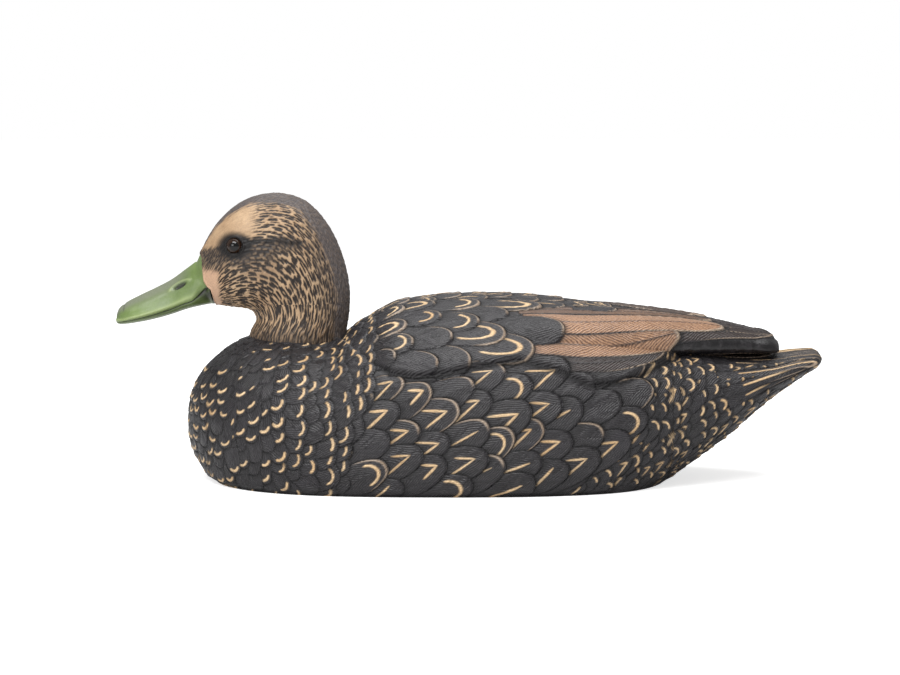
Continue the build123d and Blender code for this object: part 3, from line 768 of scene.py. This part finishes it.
# ---------------- head form
# Sections from the neck's base round the nape to the face: throat point, outer point and half width.
# Distances are in head lengths from the pivot axis and from the collar's height.
NECK_DROP = (NECK_BASE - COLLAR_Z) / HEAD
HEAD_TABLE = np.array((
    (-0.322, NECK_DROP, 0.322, NECK_DROP, 0.322),
    (-0.322, -0.100, 0.322, -0.100, 0.322),
    (-0.312, 0.035, 0.318, 0.035, 0.315),
    (-0.275, 0.110, 0.335, 0.140, 0.295),
    (-0.286, 0.155, 0.341, 0.295, 0.290),
    (-0.319, 0.181, 0.298, 0.520, 0.300),
    (-0.357, 0.190, 0.200, 0.735, 0.308),
    (-0.401, 0.196, 0.040, 0.900, 0.308),
    (-0.445, 0.200, -0.137, 0.945, 0.298),
    (-0.484, 0.204, -0.335, 0.905, 0.275),
    (-0.517, 0.208, -0.500, 0.780, 0.232),
    (-0.544, 0.211, -0.605, 0.626, 0.182),
    (-0.564, 0.213, -0.654, 0.520, 0.142),
))
HEAD_POWER = 2.15
HEAD_ROWS, HEAD_COLUMNS = 400, 480
PUPIL_RADIUS = 2.6
# How far the feather edge at the bill lies behind the face's plane, in mm, by degrees from the crown.
FEATHER_EDGE = ((0, 45, 70, 90, 105, 117, 130, 150, 180), (1.5, 4.0, 2.0, 0.2, 2.0, 4.6, 4.5, 3.5, 2.5))

steps = np.diff(HEAD_TABLE, axis=0)
head_run = running(np.hypot(steps[:, 2], steps[:, 3]) + 0.5 * np.hypot(steps[:, 0], steps[:, 1]))
head_of = [spline(head_run, HEAD_TABLE[:, k]) for k in range(5)]
head_angles = np.linspace(0, 2 * math.pi, HEAD_COLUMNS, endpoint=False)


def from_top(angles):
    """Angle from the upper side, the same on the left and the right."""
    return np.minimum(angles, 2 * math.pi - angles)


def head_lengths(points):
    """Place along and height in head lengths, from the pivot axis and the collar."""
    return (points[:, 0] - NECK_X) / HEAD, (points[:, 2] - COLLAR_Z) / HEAD


def head_surface(place, angle, inset=0.0):
    """Points in mm of the head's sections; place runs from the neck's base to the face."""
    tx, tz, cx, cz, w = [f(place) * HEAD for f in head_of]
    half = np.hypot(cx - tx, cz - tz) / 2
    shape = signed_power(np.cos(angle), 2 / HEAD_POWER) * (half - inset) / half
    x = (tx + cx) / 2 + shape * (cx - tx) / 2
    z = (tz + cz) / 2 + shape * (cz - tz) / 2
    y = (w - inset) * signed_power(np.sin(angle), 2 / HEAD_POWER)
    return np.stack([NECK_X + x, y, COLLAR_Z + z], axis=-1)


def distance_along(points):
    step = np.linalg.norm(np.diff(points, axis=0), axis=2)
    return np.concatenate([np.zeros((1, points.shape[1])), np.cumsum(step, axis=0)])


def head_grid():
    place = np.linspace(0, head_run[-1], 600)[:, None] * np.ones(HEAD_COLUMNS)
    length = distance_along(head_surface(place, head_angles))
    setback = np.interp(np.degrees(from_top(head_angles)), *FEATHER_EDGE)
    ends = np.array([
        np.interp(length[-1, c] - setback[c], length[:, c], place[:, c]) for c in range(HEAD_COLUMNS)
    ])
    return head_surface(np.linspace(0, 1, HEAD_ROWS)[:, None] * ends, head_angles)


def strokes(along, around, spacing, length, seed):
    """Staggered carved strokes with tapered ends, 0 to 1."""
    best = np.zeros(along.shape)
    lane = np.floor(around / spacing)
    for step in (-1, 0, 1):
        k = (lane + step).astype(np.int64)
        shifted = along / length + hash_noise(k, k * 0 + 3, seed)
        j = np.floor(shifted).astype(np.int64)
        place = shifted - j - 0.5
        wobble = 0.7 * (hash_noise(k, j, seed + 1) - 0.5)
        slant = 0.7 * (hash_noise(k, j, seed + 2) - 0.5)
        reach = 0.40 + 0.12 * hash_noise(k, j, seed + 3)
        half = spacing * (0.20 + 0.17 * hash_noise(k, j, seed + 4))
        middle = (k + 0.5 + wobble + slant * place) * spacing
        line = bell(around - middle, half) * smooth(reach, 0.5 * reach, np.abs(place))
        best = np.maximum(best, line)
    return best


head = Grid(head_grid(), closed=True)
head_flip = outward(head)
q = head.flat_points()
u, v = head_lengths(q)
turn = np.tile(from_top(head_angles), HEAD_ROWS)
sideways = np.abs(np.sin(turn)) ** 0.5
back_run = distance_along(head.points[::-1])[::-1].ravel()
girth = 32.0 * turn
# Strokes climb behind the bill and then follow the neck down.
CLIMB = 42
lane = girth + 0.55 * CLIMB * (1 - np.exp(-back_run / CLIMB))
below_crown = 0.5 * (1 - np.cos(turn)) * 62
wander = noise2(back_run / 5, girth / 1.6, 11) + 0.5 * noise2(back_run / 2.2, girth / 0.9, 12) - 0.75

# The dark band through the eye, from the bill to the nape.
BAND_TOP = ((-0.62, -0.449, -0.33, -0.116, 0.078, 0.2), (0.572, 0.615, 0.658, 0.669, 0.648, 0.60))
BAND_LOW = ((-0.62, -0.503, -0.395, -0.223, -0.063, 0.1), (0.475, 0.475, 0.497, 0.54, 0.583, 0.62))
above_band = v - np.interp(u, *BAND_TOP)
over_low_edge = v - np.interp(u, *BAND_LOW)
in_band = smooth(0.018, -0.012, above_band + 0.02 * wander)
in_band *= smooth(-0.06, 0.035, over_low_edge + 0.05 * wander)
in_band *= smooth(0.16, -0.02, u + 0.04 * wander)
top_line = bell(above_band + 0.020 + 0.012 * wander, 0.017) * between(-0.46, 0.03, 0.06, u)
crown_depth = np.interp(u, (-0.62, -0.5, -0.25, 0.0, 0.3), (1.6, 4.2, 5.6, 6.2, 9.0))
on_crown = smooth(1.6, -1.6, below_crown - crown_depth * (v > 0.0) - 2.6 * wander)
nape = smooth(26, 7, below_crown + 7 * wander) * smooth(-0.05, 0.22, u)
low_neck = smooth(0.13, -0.02, v + 0.04 * wander)
under_eye = smooth(0.19, 0.04, np.hypot((u + 0.25) / 1.5, v - 0.50)) * 0.35
clear_patch = smooth(0.035, -0.02, u + 0.505 - 0.02 * wander) * between(0.20, 0.455, 0.03, v)
over_band = between(0.0, 0.30, 0.03, above_band)
in_front = smooth(-0.18, -0.32, u)
brow = over_band * in_front
behind_brow = over_band * (1 - in_front)

def two_sets(around, first, second, shift):
    """Two layers of strokes, each given as spacing, length and seed."""
    return np.maximum(strokes(back_run, around, *first), 0.9 * strokes(back_run, around + shift, *second))


cheek_strokes = two_sets(lane, (1.55, 9.5, 21), (2.3, 8.0, 23), 0.8)
long_strokes = two_sets(girth, (1.7, 12.0, 31), (2.2, 9.0, 33), 0.9)
amount = 1.0 - 0.94 * clear_patch - 0.80 * brow - 0.12 * behind_brow
on_neck = smooth(0.30, 0.16, v)
carved = np.where(on_neck > 0.5, long_strokes, cheek_strokes) * np.clip(amount, 0, 1)
light_strokes = strokes(back_run, lane, 1.7, 4.2, 41)

shade = np.clip(np.maximum.reduce([on_crown, in_band, 0.8 * nape, 0.85 * low_neck]) + under_eye, 0, 1)
tan_shown = (1 - shade) * (1 - 0.97 * smooth(0.18, 0.62, carved))
tan_shown += 0.42 * shade * light_strokes * (1 - 0.7 * on_crown)
from_eye = np.hypot(q[:, 0] - EYE_X, q[:, 2] - EYE_Z)
around_eye = smooth(9.5, 4.6, np.hypot((q[:, 0] - EYE_X) * 0.72, q[:, 2] - EYE_Z))
head.fields["tan"] = np.clip(tan_shown * (1 - around_eye), 0, 1)
head.fields["pale"] = clear_patch
# The crown, and less so the nape, turn a lighter grey-brown; on the crown this is partly a painted sheen on
# the top of the head.
head.fields["tone"] = np.clip(0.9 * on_crown + 0.45 * nape * (1 - low_neck) + 0.15 * in_band, 0, 1)
# Painted shade in the hollows of the carved strokes; the same field also darkens a ring round the eye and a
# line along the top of the eye band.
head.fields["groove"] = np.clip(0.75 * top_line + 0.9 * around_eye + 0.55 * carved * (1 - on_crown), 0, 1)

relief = -0.55 * carved + 0.25 * light_strokes * (1 - clear_patch) * (1 - brow)
relief += 0.25 * (noise2(back_run / 1.6, girth / 0.8, 51) - 0.5) * (1 - clear_patch)
# Brow, hollow before the eye, cheek, and the rim and groove round the eye.
form = 1.3 * bell(np.hypot((u + 0.37) / 0.13, (v - 0.715) / 0.040), 1)
form -= 1.4 * bell(np.hypot((u + 0.51) / 0.07, (v - 0.540) / 0.050), 1)
form += 1.4 * bell(np.hypot((u + 0.24) / 0.17, (v - 0.390) / 0.110), 1)
form += 0.9 * bell(from_eye - 5.3, 0.8) - 0.8 * bell(from_eye - 4.2, 0.55)
head.height = (relief + form * sideways) * smooth(-0.08, 0.04, v)
# The feather edge stands over the bill and turns in under itself.
edge_rows = np.repeat(np.arange(HEAD_ROWS)[::-1], HEAD_COLUMNS)
head.height += 0.35 * between(2.0, 7.0, 2.0, edge_rows) - 1.6 * (edge_rows == 0) - 0.4 * (edge_rows == 1)
# The two rows at the bill get painted shade, as in the crease under the feather edge.
head.fields["groove"] = np.maximum(head.fields["groove"], 0.85 * (edge_rows <= 1))


# ---------------- bill form
# Part of the bill's length, top, underside (head lengths over the collar) and half width.
BILL_TABLE = np.array((
    (0.05, 0.486, 0.196, 0.139),
    (0.14, 0.447, 0.183, 0.134),
    (0.32, 0.376, 0.150, 0.131),
    (0.52, 0.319, 0.120, 0.141),
    (0.72, 0.268, 0.098, 0.149),
    (0.88, 0.222, 0.086, 0.138),
    (0.96, 0.188, 0.085, 0.110),
    (0.993, 0.158, 0.094, 0.072),
    (1.00, 0.138, 0.108, 0.030),
))
BILL_LENGTH = 49.0
BILL_BASE_X = NECK_X - 0.654 * HEAD
BILL_ROWS, BILL_COLUMNS = 300, 320
LIP = 0.25                   # height of the lip over the underside, as a part of the bill's height
TUCK = (8.0, 5.0, 2.5, 0.0)  # rows of the bill inside the head, in mm behind the face's plane
TUCK_INSET = 0.45            # skin of the face to the bill inside it
NOSTRIL = (-0.766, 0.341, math.radians(29))


bill_angles = np.linspace(0, 2 * math.pi, BILL_COLUMNS, endpoint=False)


def bill_grid():
    cosine, sine = np.cos(bill_angles), np.sin(bill_angles)
    power = np.where(cosine >= 0, 1.75, 2.6)
    sections = []
    for behind in TUCK:
        place = head_run[-1] - behind / HEAD * 1.1
        sections.append(head_surface(np.full(BILL_COLUMNS, place), bill_angles, inset=TUCK_INSET))
    for along, top, bottom, width in BILL_TABLE:
        lip = bottom + LIP * (top - bottom)
        reach = np.where(cosine >= 0, top - lip, lip - bottom)
        z = COLLAR_Z + (lip + reach * signed_power(cosine, 2 / power)) * HEAD
        y = width * HEAD * signed_power(sine, 2 / power)
        x = np.full(BILL_COLUMNS, BILL_BASE_X - along * BILL_LENGTH)
        sections.append(np.stack([x, y, z], axis=-1))
    sections = np.array(sections)
    run_at = distance_along(sections).mean(axis=1)
    # Steps shorten towards the tip, where the form closes fast.
    fine = run_at[-1] * (1 - (1 - np.linspace(0, 1, BILL_ROWS)) ** 1.35)
    flat = [spline(run_at, sections[:, c, k])(fine) for c in range(BILL_COLUMNS) for k in range(3)]
    return np.array(flat).reshape(BILL_COLUMNS, 3, BILL_ROWS).transpose(2, 0, 1)


bill = Grid(bill_grid(), closed=True)
bill_flip = outward(bill)
q = bill.flat_points()
u, v = head_lengths(q)
forward = np.clip((BILL_BASE_X - q[:, 0]) / BILL_LENGTH, -0.2, 1.0)
turn = np.tile(np.degrees(from_top(bill_angles)), BILL_ROWS)
at_tip = smooth(0.90, 1.0, forward)
lip_turn = 88 - 6 * at_tip
lip_ridge = bell(turn - lip_turn, 7) * smooth(-0.10, 0.15, forward)
above_lip = bell(turn - lip_turn + 24, 12) * smooth(0.0, 0.3, forward)
mouth = bell(turn - lip_turn - 19, 4.5) * smooth(1.0, 0.90, forward)
du, dv = (u - NOSTRIL[0]) * HEAD, (v - NOSTRIL[1]) * HEAD
level = du * math.cos(NOSTRIL[2]) + dv * math.sin(NOSTRIL[2])
across = -du * math.sin(NOSTRIL[2]) + dv * math.cos(NOSTRIL[2])
ring = np.hypot(level / 4.6, across / 1.35) + 9.0 * (turn > 86)
pit = smooth(1.1, 0.55, ring)
nostril_rim = bell(ring - 1.5, 0.28) * smooth(-1.0, 0.5, across)
nail = bell(forward - 0.905, 0.012) * smooth(60, 40, turn)
gape = smooth(5.5, 1.5, np.hypot((u + 0.540) * HEAD * 0.45, (v - 0.280) * HEAD))
# Painted shade in the nostril pit, along the mouth line, in the corner of the gape and in the crease round
# the nail.
bill.fields["groove"] = np.clip(0.95 * pit + 0.85 * mouth + 0.9 * gape + 0.4 * nail, 0, 1)
bill.fields["pale"] = np.clip(lip_ridge * 0.9 + 0.8 * nostril_rim, 0, 1) * (1 - gape)
bill.fields["tone"] = smooth(64, 30, turn) * smooth(0.02, 0.30, forward) * 0.9
bill.fields["tan"] = smooth(100, 116, turn)
bill.height = (0.75 * lip_ridge - 0.55 * above_lip - 0.7 * mouth - 1.3 * pit + 0.45 * nostril_rim
               - 0.35 * nail + 0.35 * bell(turn, 12) * smooth(0.0, 0.2, forward))
bill.height *= 1 - 0.75 * smooth(0.975, 1.0, forward)


# ---------------- materials
class Nodes:
    """Short hand for building a material's node tree."""

    def __init__(self, name, **sockets):
        self.material = bpy.data.materials.new(name)
        self.material.use_nodes = True
        self.tree = self.material.node_tree
        self.shader = self.tree.nodes["Principled BSDF"]
        for key, value in sockets.items():
            self.shader.inputs[key.replace("_", " ")].default_value = value

    def node(self, kind, **settings):
        made = self.tree.nodes.new("ShaderNode" + kind)
        for key, value in settings.items():
            setattr(made, key, value)
        return made

    def put(self, socket, value):
        if isinstance(value, (int, float)):
            socket.default_value = value
        elif isinstance(value, tuple):
            socket.default_value = value + (1.0,) if len(value) == 3 and socket.type == "RGBA" else value
        else:
            self.tree.links.new(value, socket)

    def field(self, name):
        return self.node("Attribute", attribute_name=name).outputs["Fac"]

    def math(self, operation, a, b=0.0, c=None, clamp=False):
        made = self.node("Math", operation=operation, use_clamp=clamp)
        self.put(made.inputs[0], a)
        self.put(made.inputs[1], b)
        if c is not None:
            self.put(made.inputs[2], c)
        return made.outputs[0]

    def times(self, a, b, clamp=False):
        return self.math("MULTIPLY", a, b, clamp=clamp)

    def scaled(self, a, factor, start, clamp=False):
        """a * factor + start"""
        return self.math("MULTIPLY_ADD", a, factor, start, clamp)

    def mix(self, factor, a, b):
        made = self.node("Mix", data_type="RGBA")
        self.put(made.inputs["Factor"], factor)
        self.put(made.inputs[6], a)
        self.put(made.inputs[7], b)
        return made.outputs[2]

    def noise(self, scale, detail=3.0, high=1.0):
        made = self.node("TexNoise")
        self.put(made.inputs["Vector"], self.node("TexCoord").outputs["Object"])
        made.inputs["Scale"].default_value = scale
        made.inputs["Detail"].default_value = detail
        ranged = self.node("MapRange")
        self.put(ranged.inputs[0], made.outputs["Fac"])
        ranged.inputs[1].default_value = 0.3
        ranged.inputs[2].default_value = 0.7
        ranged.inputs[4].default_value = high
        return ranged.outputs[0]

    def bump(self, height, distance, strength=1.0, under=None):
        made = self.node("Bump")
        made.inputs["Distance"].default_value = distance
        made.inputs["Strength"].default_value = strength
        self.put(made.inputs["Height"], height)
        if under is not None:
            self.put(made.inputs["Normal"], under)
        return made.outputs[0]

    def surface(self, color, roughness, normal=None):
        self.put(self.shader.inputs["Base Color"], color)
        self.put(self.shader.inputs["Roughness"], roughness)
        if normal is not None:
            self.put(self.shader.inputs["Normal"], normal)
        return self.material


BARB_SPACING = 1.25  # mm


def plumage_material():
    n = Nodes("plumage", Specular_IOR_Level=0.42, Coat_Weight=0.05, Coat_Roughness=0.35)
    along, across = n.field("along"), n.field("across")
    wander = n.noise(80.0, 2.0, high=1.6)
    slant = n.scaled(along, 0.42, across)
    phase = n.math("ADD", slant, wander)
    barbs = n.math("SINE", n.times(phase, 2 * math.pi / BARB_SPACING))
    barb_height = n.scaled(barbs, 0.5, 0.5)
    fine = n.noise(900.0, 3.0)
    cloudy = n.noise(35.0, 4.0)
    dark = n.mix(n.field("tone"), (0.0050, 0.0044, 0.0056), (0.0150, 0.0135, 0.0170))
    dark = n.mix(n.times(cloudy, 0.55), dark, (0.0085, 0.0070, 0.0075))
    # Paler grey on the raised barbs: partly dry-brushed wear, partly a painted sheen where the barbs stand
    # up.
    worn = n.times(n.times(barb_height, fine), 0.42)
    dark = n.mix(worn, dark, (0.072, 0.064, 0.070))
    streak = n.scaled(barb_height, 0.6, n.times(fine, 0.4))
    rust_tint = n.mix(streak, (0.085, 0.036, 0.020), (0.520, 0.300, 0.175))
    rusty = n.times(n.field("rust"), n.scaled(cloudy, 0.35, 0.75), clamp=True)
    color = n.mix(rusty, dark, rust_tint)
    tan = n.mix(cloudy, (0.58, 0.37, 0.18), (0.78, 0.57, 0.34))
    brushed = n.scaled(fine, 0.4, 0.72, clamp=True)
    color = n.mix(n.times(n.field("tan"), brushed), color, tan)
    pale = n.mix(cloudy, (0.34, 0.24, 0.16), (0.58, 0.45, 0.34))
    color = n.mix(n.times(n.field("pale"), n.times(brushed, 0.85)), color, pale)
    # Painted shade: near black in the crevices between feathers and under the wing edge.
    groove = n.field("groove")
    color = n.mix(n.times(groove, 0.9), color, (0.0018, 0.0016, 0.0018))
    normal = n.bump(barb_height, 0.00022, 1.0)
    normal = n.bump(fine, 0.00012, 0.7, under=normal)
    rough = n.scaled(fine, 0.14, 0.29)
    rough = n.scaled(groove, 0.45, rough)
    rough = n.scaled(n.field("tan"), 0.1, rough)
    return n.surface(color, rough, normal)


def head_material():
    n = Nodes("head_paint", Specular_IOR_Level=0.35)
    fine = n.noise(1100.0, 3.0)
    cloudy = n.noise(60.0, 3.0)
    tan = n.mix(cloudy, (0.360, 0.230, 0.130), (0.500, 0.345, 0.210))
    tan = n.mix(n.field("pale"), tan, (0.500, 0.315, 0.205))
    # The lighter grey-brown on the crown is partly a painted sheen.
    dark = n.mix(n.field("tone"), (0.0120, 0.0085, 0.0080), (0.078, 0.068, 0.068))
    dark = n.mix(n.times(fine, 0.3), dark, (0.050, 0.038, 0.034))
    shown = n.times(n.field("tan"), n.scaled(fine, 0.25, 0.82), clamp=True)
    color = n.mix(shown, dark, tan)
    # Painted shade in the carved hollows and at the bill, with the darkened ring round the eye and line along
    # the eye band.
    color = n.mix(n.field("groove"), color, (0.0050, 0.0038, 0.0038))
    rough = n.scaled(fine, 0.2, 0.42)
    return n.surface(color, rough, n.bump(fine, 0.00008, 0.7))


def bill_material():
    n = Nodes("bill_paint", Specular_IOR_Level=0.5, Coat_Weight=0.1, Coat_Roughness=0.3)
    fine = n.noise(900.0, 3.0)
    cloudy = n.noise(70.0, 4.0)
    green = n.mix(cloudy, (0.080, 0.128, 0.030), (0.135, 0.200, 0.052))
    green = n.mix(n.field("tone"), green, (0.150, 0.165, 0.115))
    green = n.mix(n.field("tan"), green, (0.075, 0.115, 0.028))
    green = n.mix(n.times(n.field("pale"), 0.7), green, (0.300, 0.370, 0.150))
    green = n.mix(n.times(fine, 0.15), green, (0.23, 0.26, 0.15))
    # Painted shade in the nostril pit, mouth line, gape and nail crease.
    color = n.mix(n.field("groove"), green, (0.0080, 0.0095, 0.0050))
    rough = n.scaled(fine, 0.18, 0.33)
    return n.surface(color, rough, n.bump(fine, 0.00006, 0.6))


def eye_material():
    n = Nodes("eye_glass", Specular_IOR_Level=0.3, Coat_Weight=0.12, Coat_Roughness=0.02)
    parts = n.node("SeparateXYZ")
    n.put(parts.inputs[0], n.node("TexCoord").outputs["Object"])
    dx = n.math("SUBTRACT", parts.outputs[0], EYE_X * MM)
    dz = n.math("SUBTRACT", parts.outputs[2], EYE_Z * MM)
    squares = n.math("ADD", n.times(dx, dx), n.times(dz, dz))
    pupil = n.math("LESS_THAN", n.math("SQRT", squares), PUPIL_RADIUS * MM)
    iris = n.mix(n.noise(900.0, 3.0), (0.030, 0.013, 0.006), (0.010, 0.005, 0.003))
    return n.surface(n.mix(pupil, iris, (0.0020, 0.0018, 0.0018)), n.scaled(pupil, -0.04, 0.12))


def plastic(name, color, worn, rough=0.45, grain=700.0, bump=0.00008):
    n = Nodes(name)
    fine = n.noise(grain, 3.0)
    cloudy = n.noise(40.0, 4.0)
    shade = n.mix(n.times(cloudy, 0.5), color, worn)
    shade = n.mix(n.times(fine, 0.2), shade, worn)
    return n.surface(shade, n.scaled(fine, 0.18, rough), n.bump(fine, bump, 0.8))


def metal(name, color, rough):
    n = Nodes(name, Metallic=1.0)
    brushed = n.noise(500.0, 4.0)
    shade = n.mix(n.times(brushed, 0.4), color, tuple(0.6 * c for c in color))
    return n.surface(shade, n.scaled(brushed, 0.2, rough), n.bump(brushed, 0.00003, 0.6))


feathers = plumage_material()

body = make_mesh("hull_skin", hull, feathers, flip=hull_flip)
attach(body, "hull")
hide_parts("body_shell")
for side, name in zip(SIDES, ("left", "right")):
    skin = make_mesh(f"wing_skin_{name}", wings[side], feathers, flip=wing_flip[side], cap_ends=True)
    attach(skin, "hull")

head_skin = make_mesh("head_skin", head, head_material(), flip=head_flip, cap_ends=True)
bill_skin = make_mesh("bill_skin", bill, bill_material(), flip=bill_flip, cap_ends=True)
for piece, node, slot in ((head_skin, "head_shell", "head_plastic"), (bill_skin, "bill", "bill_plastic")):
    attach(piece, "head")
    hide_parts(node)


# ---------------- carried-over pieces
LOOKS = {
    "eye_glass": eye_material(),
    "pan_plastic": plastic("pan_plastic", (0.018, 0.017, 0.017), (0.04, 0.038, 0.036)),
    "seal_rubber": plastic("seal_rubber", (0.012, 0.012, 0.012), (0.03, 0.03, 0.03), rough=0.6),
    "stainless": metal("stainless", (0.62, 0.61, 0.60), 0.28),
    "ballast_steel": plastic("ballast_coating", (0.03, 0.03, 0.033), (0.07, 0.065, 0.06), rough=0.4),
    "foam": plastic("foam", (0.72, 0.66, 0.50), (0.60, 0.52, 0.36), rough=0.8, grain=350.0, bump=0.0004),
    "nylon": plastic("nylon", (0.70, 0.68, 0.62), (0.60, 0.57, 0.50), rough=0.4),
}
for part in frame["record"]["subparts"]:
    look = LOOKS.get(part["material_slot"])
    node = frame["nodes"].get(part["node"])
    if look is None or node is None:
        continue
    node.data.materials.clear()
    node.data.materials.append(look)


# ---------------- stage, light and camera
def area_light(name, place, aim_height, size, power):
    data = bpy.data.lights.new(name, "AREA")
    data.shape = "RECTANGLE"
    data.size, data.size_y = size
    data.energy = power
    lamp = bpy.data.objects.new(name, data)
    bpy.context.scene.collection.objects.link(lamp)
    lamp.location = place
    lamp.rotation_euler = (Vector((0, 0, aim_height)) - Vector(place)).to_track_quat("-Z", "Y").to_euler()


AMBIENT = 0.42
WHITE = (1.0, 1.0, 1.0, 1.0)
world = bpy.data.worlds.new("studio")
world.use_nodes = True
tree = world.node_tree
glow = tree.nodes["Background"]
glow.inputs["Color"].default_value = WHITE
glow.inputs["Strength"].default_value = AMBIENT
# Seen directly, the backdrop is plain white.
white = tree.nodes.new("ShaderNodeBackground")
white.inputs["Color"].default_value = WHITE
seen = tree.nodes.new("ShaderNodeMixShader")
tree.links.new(tree.nodes.new("ShaderNodeLightPath").outputs["Is Camera Ray"], seen.inputs[0])
tree.links.new(glow.outputs[0], seen.inputs[1])
tree.links.new(white.outputs[0], seen.inputs[2])
tree.links.new(seen.outputs[0], tree.nodes["World Output"].inputs[0])
bpy.context.scene.world = world
bpy.context.scene.view_settings.view_transform = "Standard"

area_light("key", (-0.25, -0.85, 1.15), 0.05, (1.0, 0.45), 15.0)
area_light("top", (0.15, 0.20, 1.3), 0.05, (1.6, 0.7), 14.0)
area_light("front", (-1.0, -1.5, 0.5), 0.06, (0.8, 0.6), 8.0)

FLOOR_GLOW = 0.68
bpy.ops.mesh.primitive_plane_add(size=40, location=(0, 0, 0))
floor = bpy.context.object
floor.name = "floor"
n = Nodes("floor", Specular_IOR_Level=0.0, Emission_Color=WHITE)
n.surface(n.mix(n.noise(3.0), (0.80, 0.80, 0.80), (0.82, 0.82, 0.82)), 0.9)
# The pale floor looks white but throws no more light on the object than a grey one.
direct = n.node("LightPath").outputs["Is Camera Ray"]
n.put(n.shader.inputs["Emission Strength"], n.times(direct, FLOOR_GLOW))
floor.data.materials.append(n.material)

ELEVATION = math.radians(5.25)
CAMERA_DISTANCE = 1.45
VIEW_WIDTH = 0.540  # m across the picture at the decoy
SENSOR_WIDTH = 36.0
camera_data = bpy.data.cameras.new("camera")
camera_data.sensor_width = SENSOR_WIDTH
camera_data.lens = SENSOR_WIDTH * CAMERA_DISTANCE / VIEW_WIDTH
camera = bpy.data.objects.new("camera", camera_data)
bpy.context.scene.collection.objects.link(camera)
target = Vector((-0.0102, 0.0, 0.0843))
camera.location = target + Vector((0, -math.cos(ELEVATION), math.sin(ELEVATION))) * CAMERA_DISTANCE
camera.rotation_euler = (math.pi / 2 - ELEVATION, 0, 0)
bpy.context.scene.camera = camera
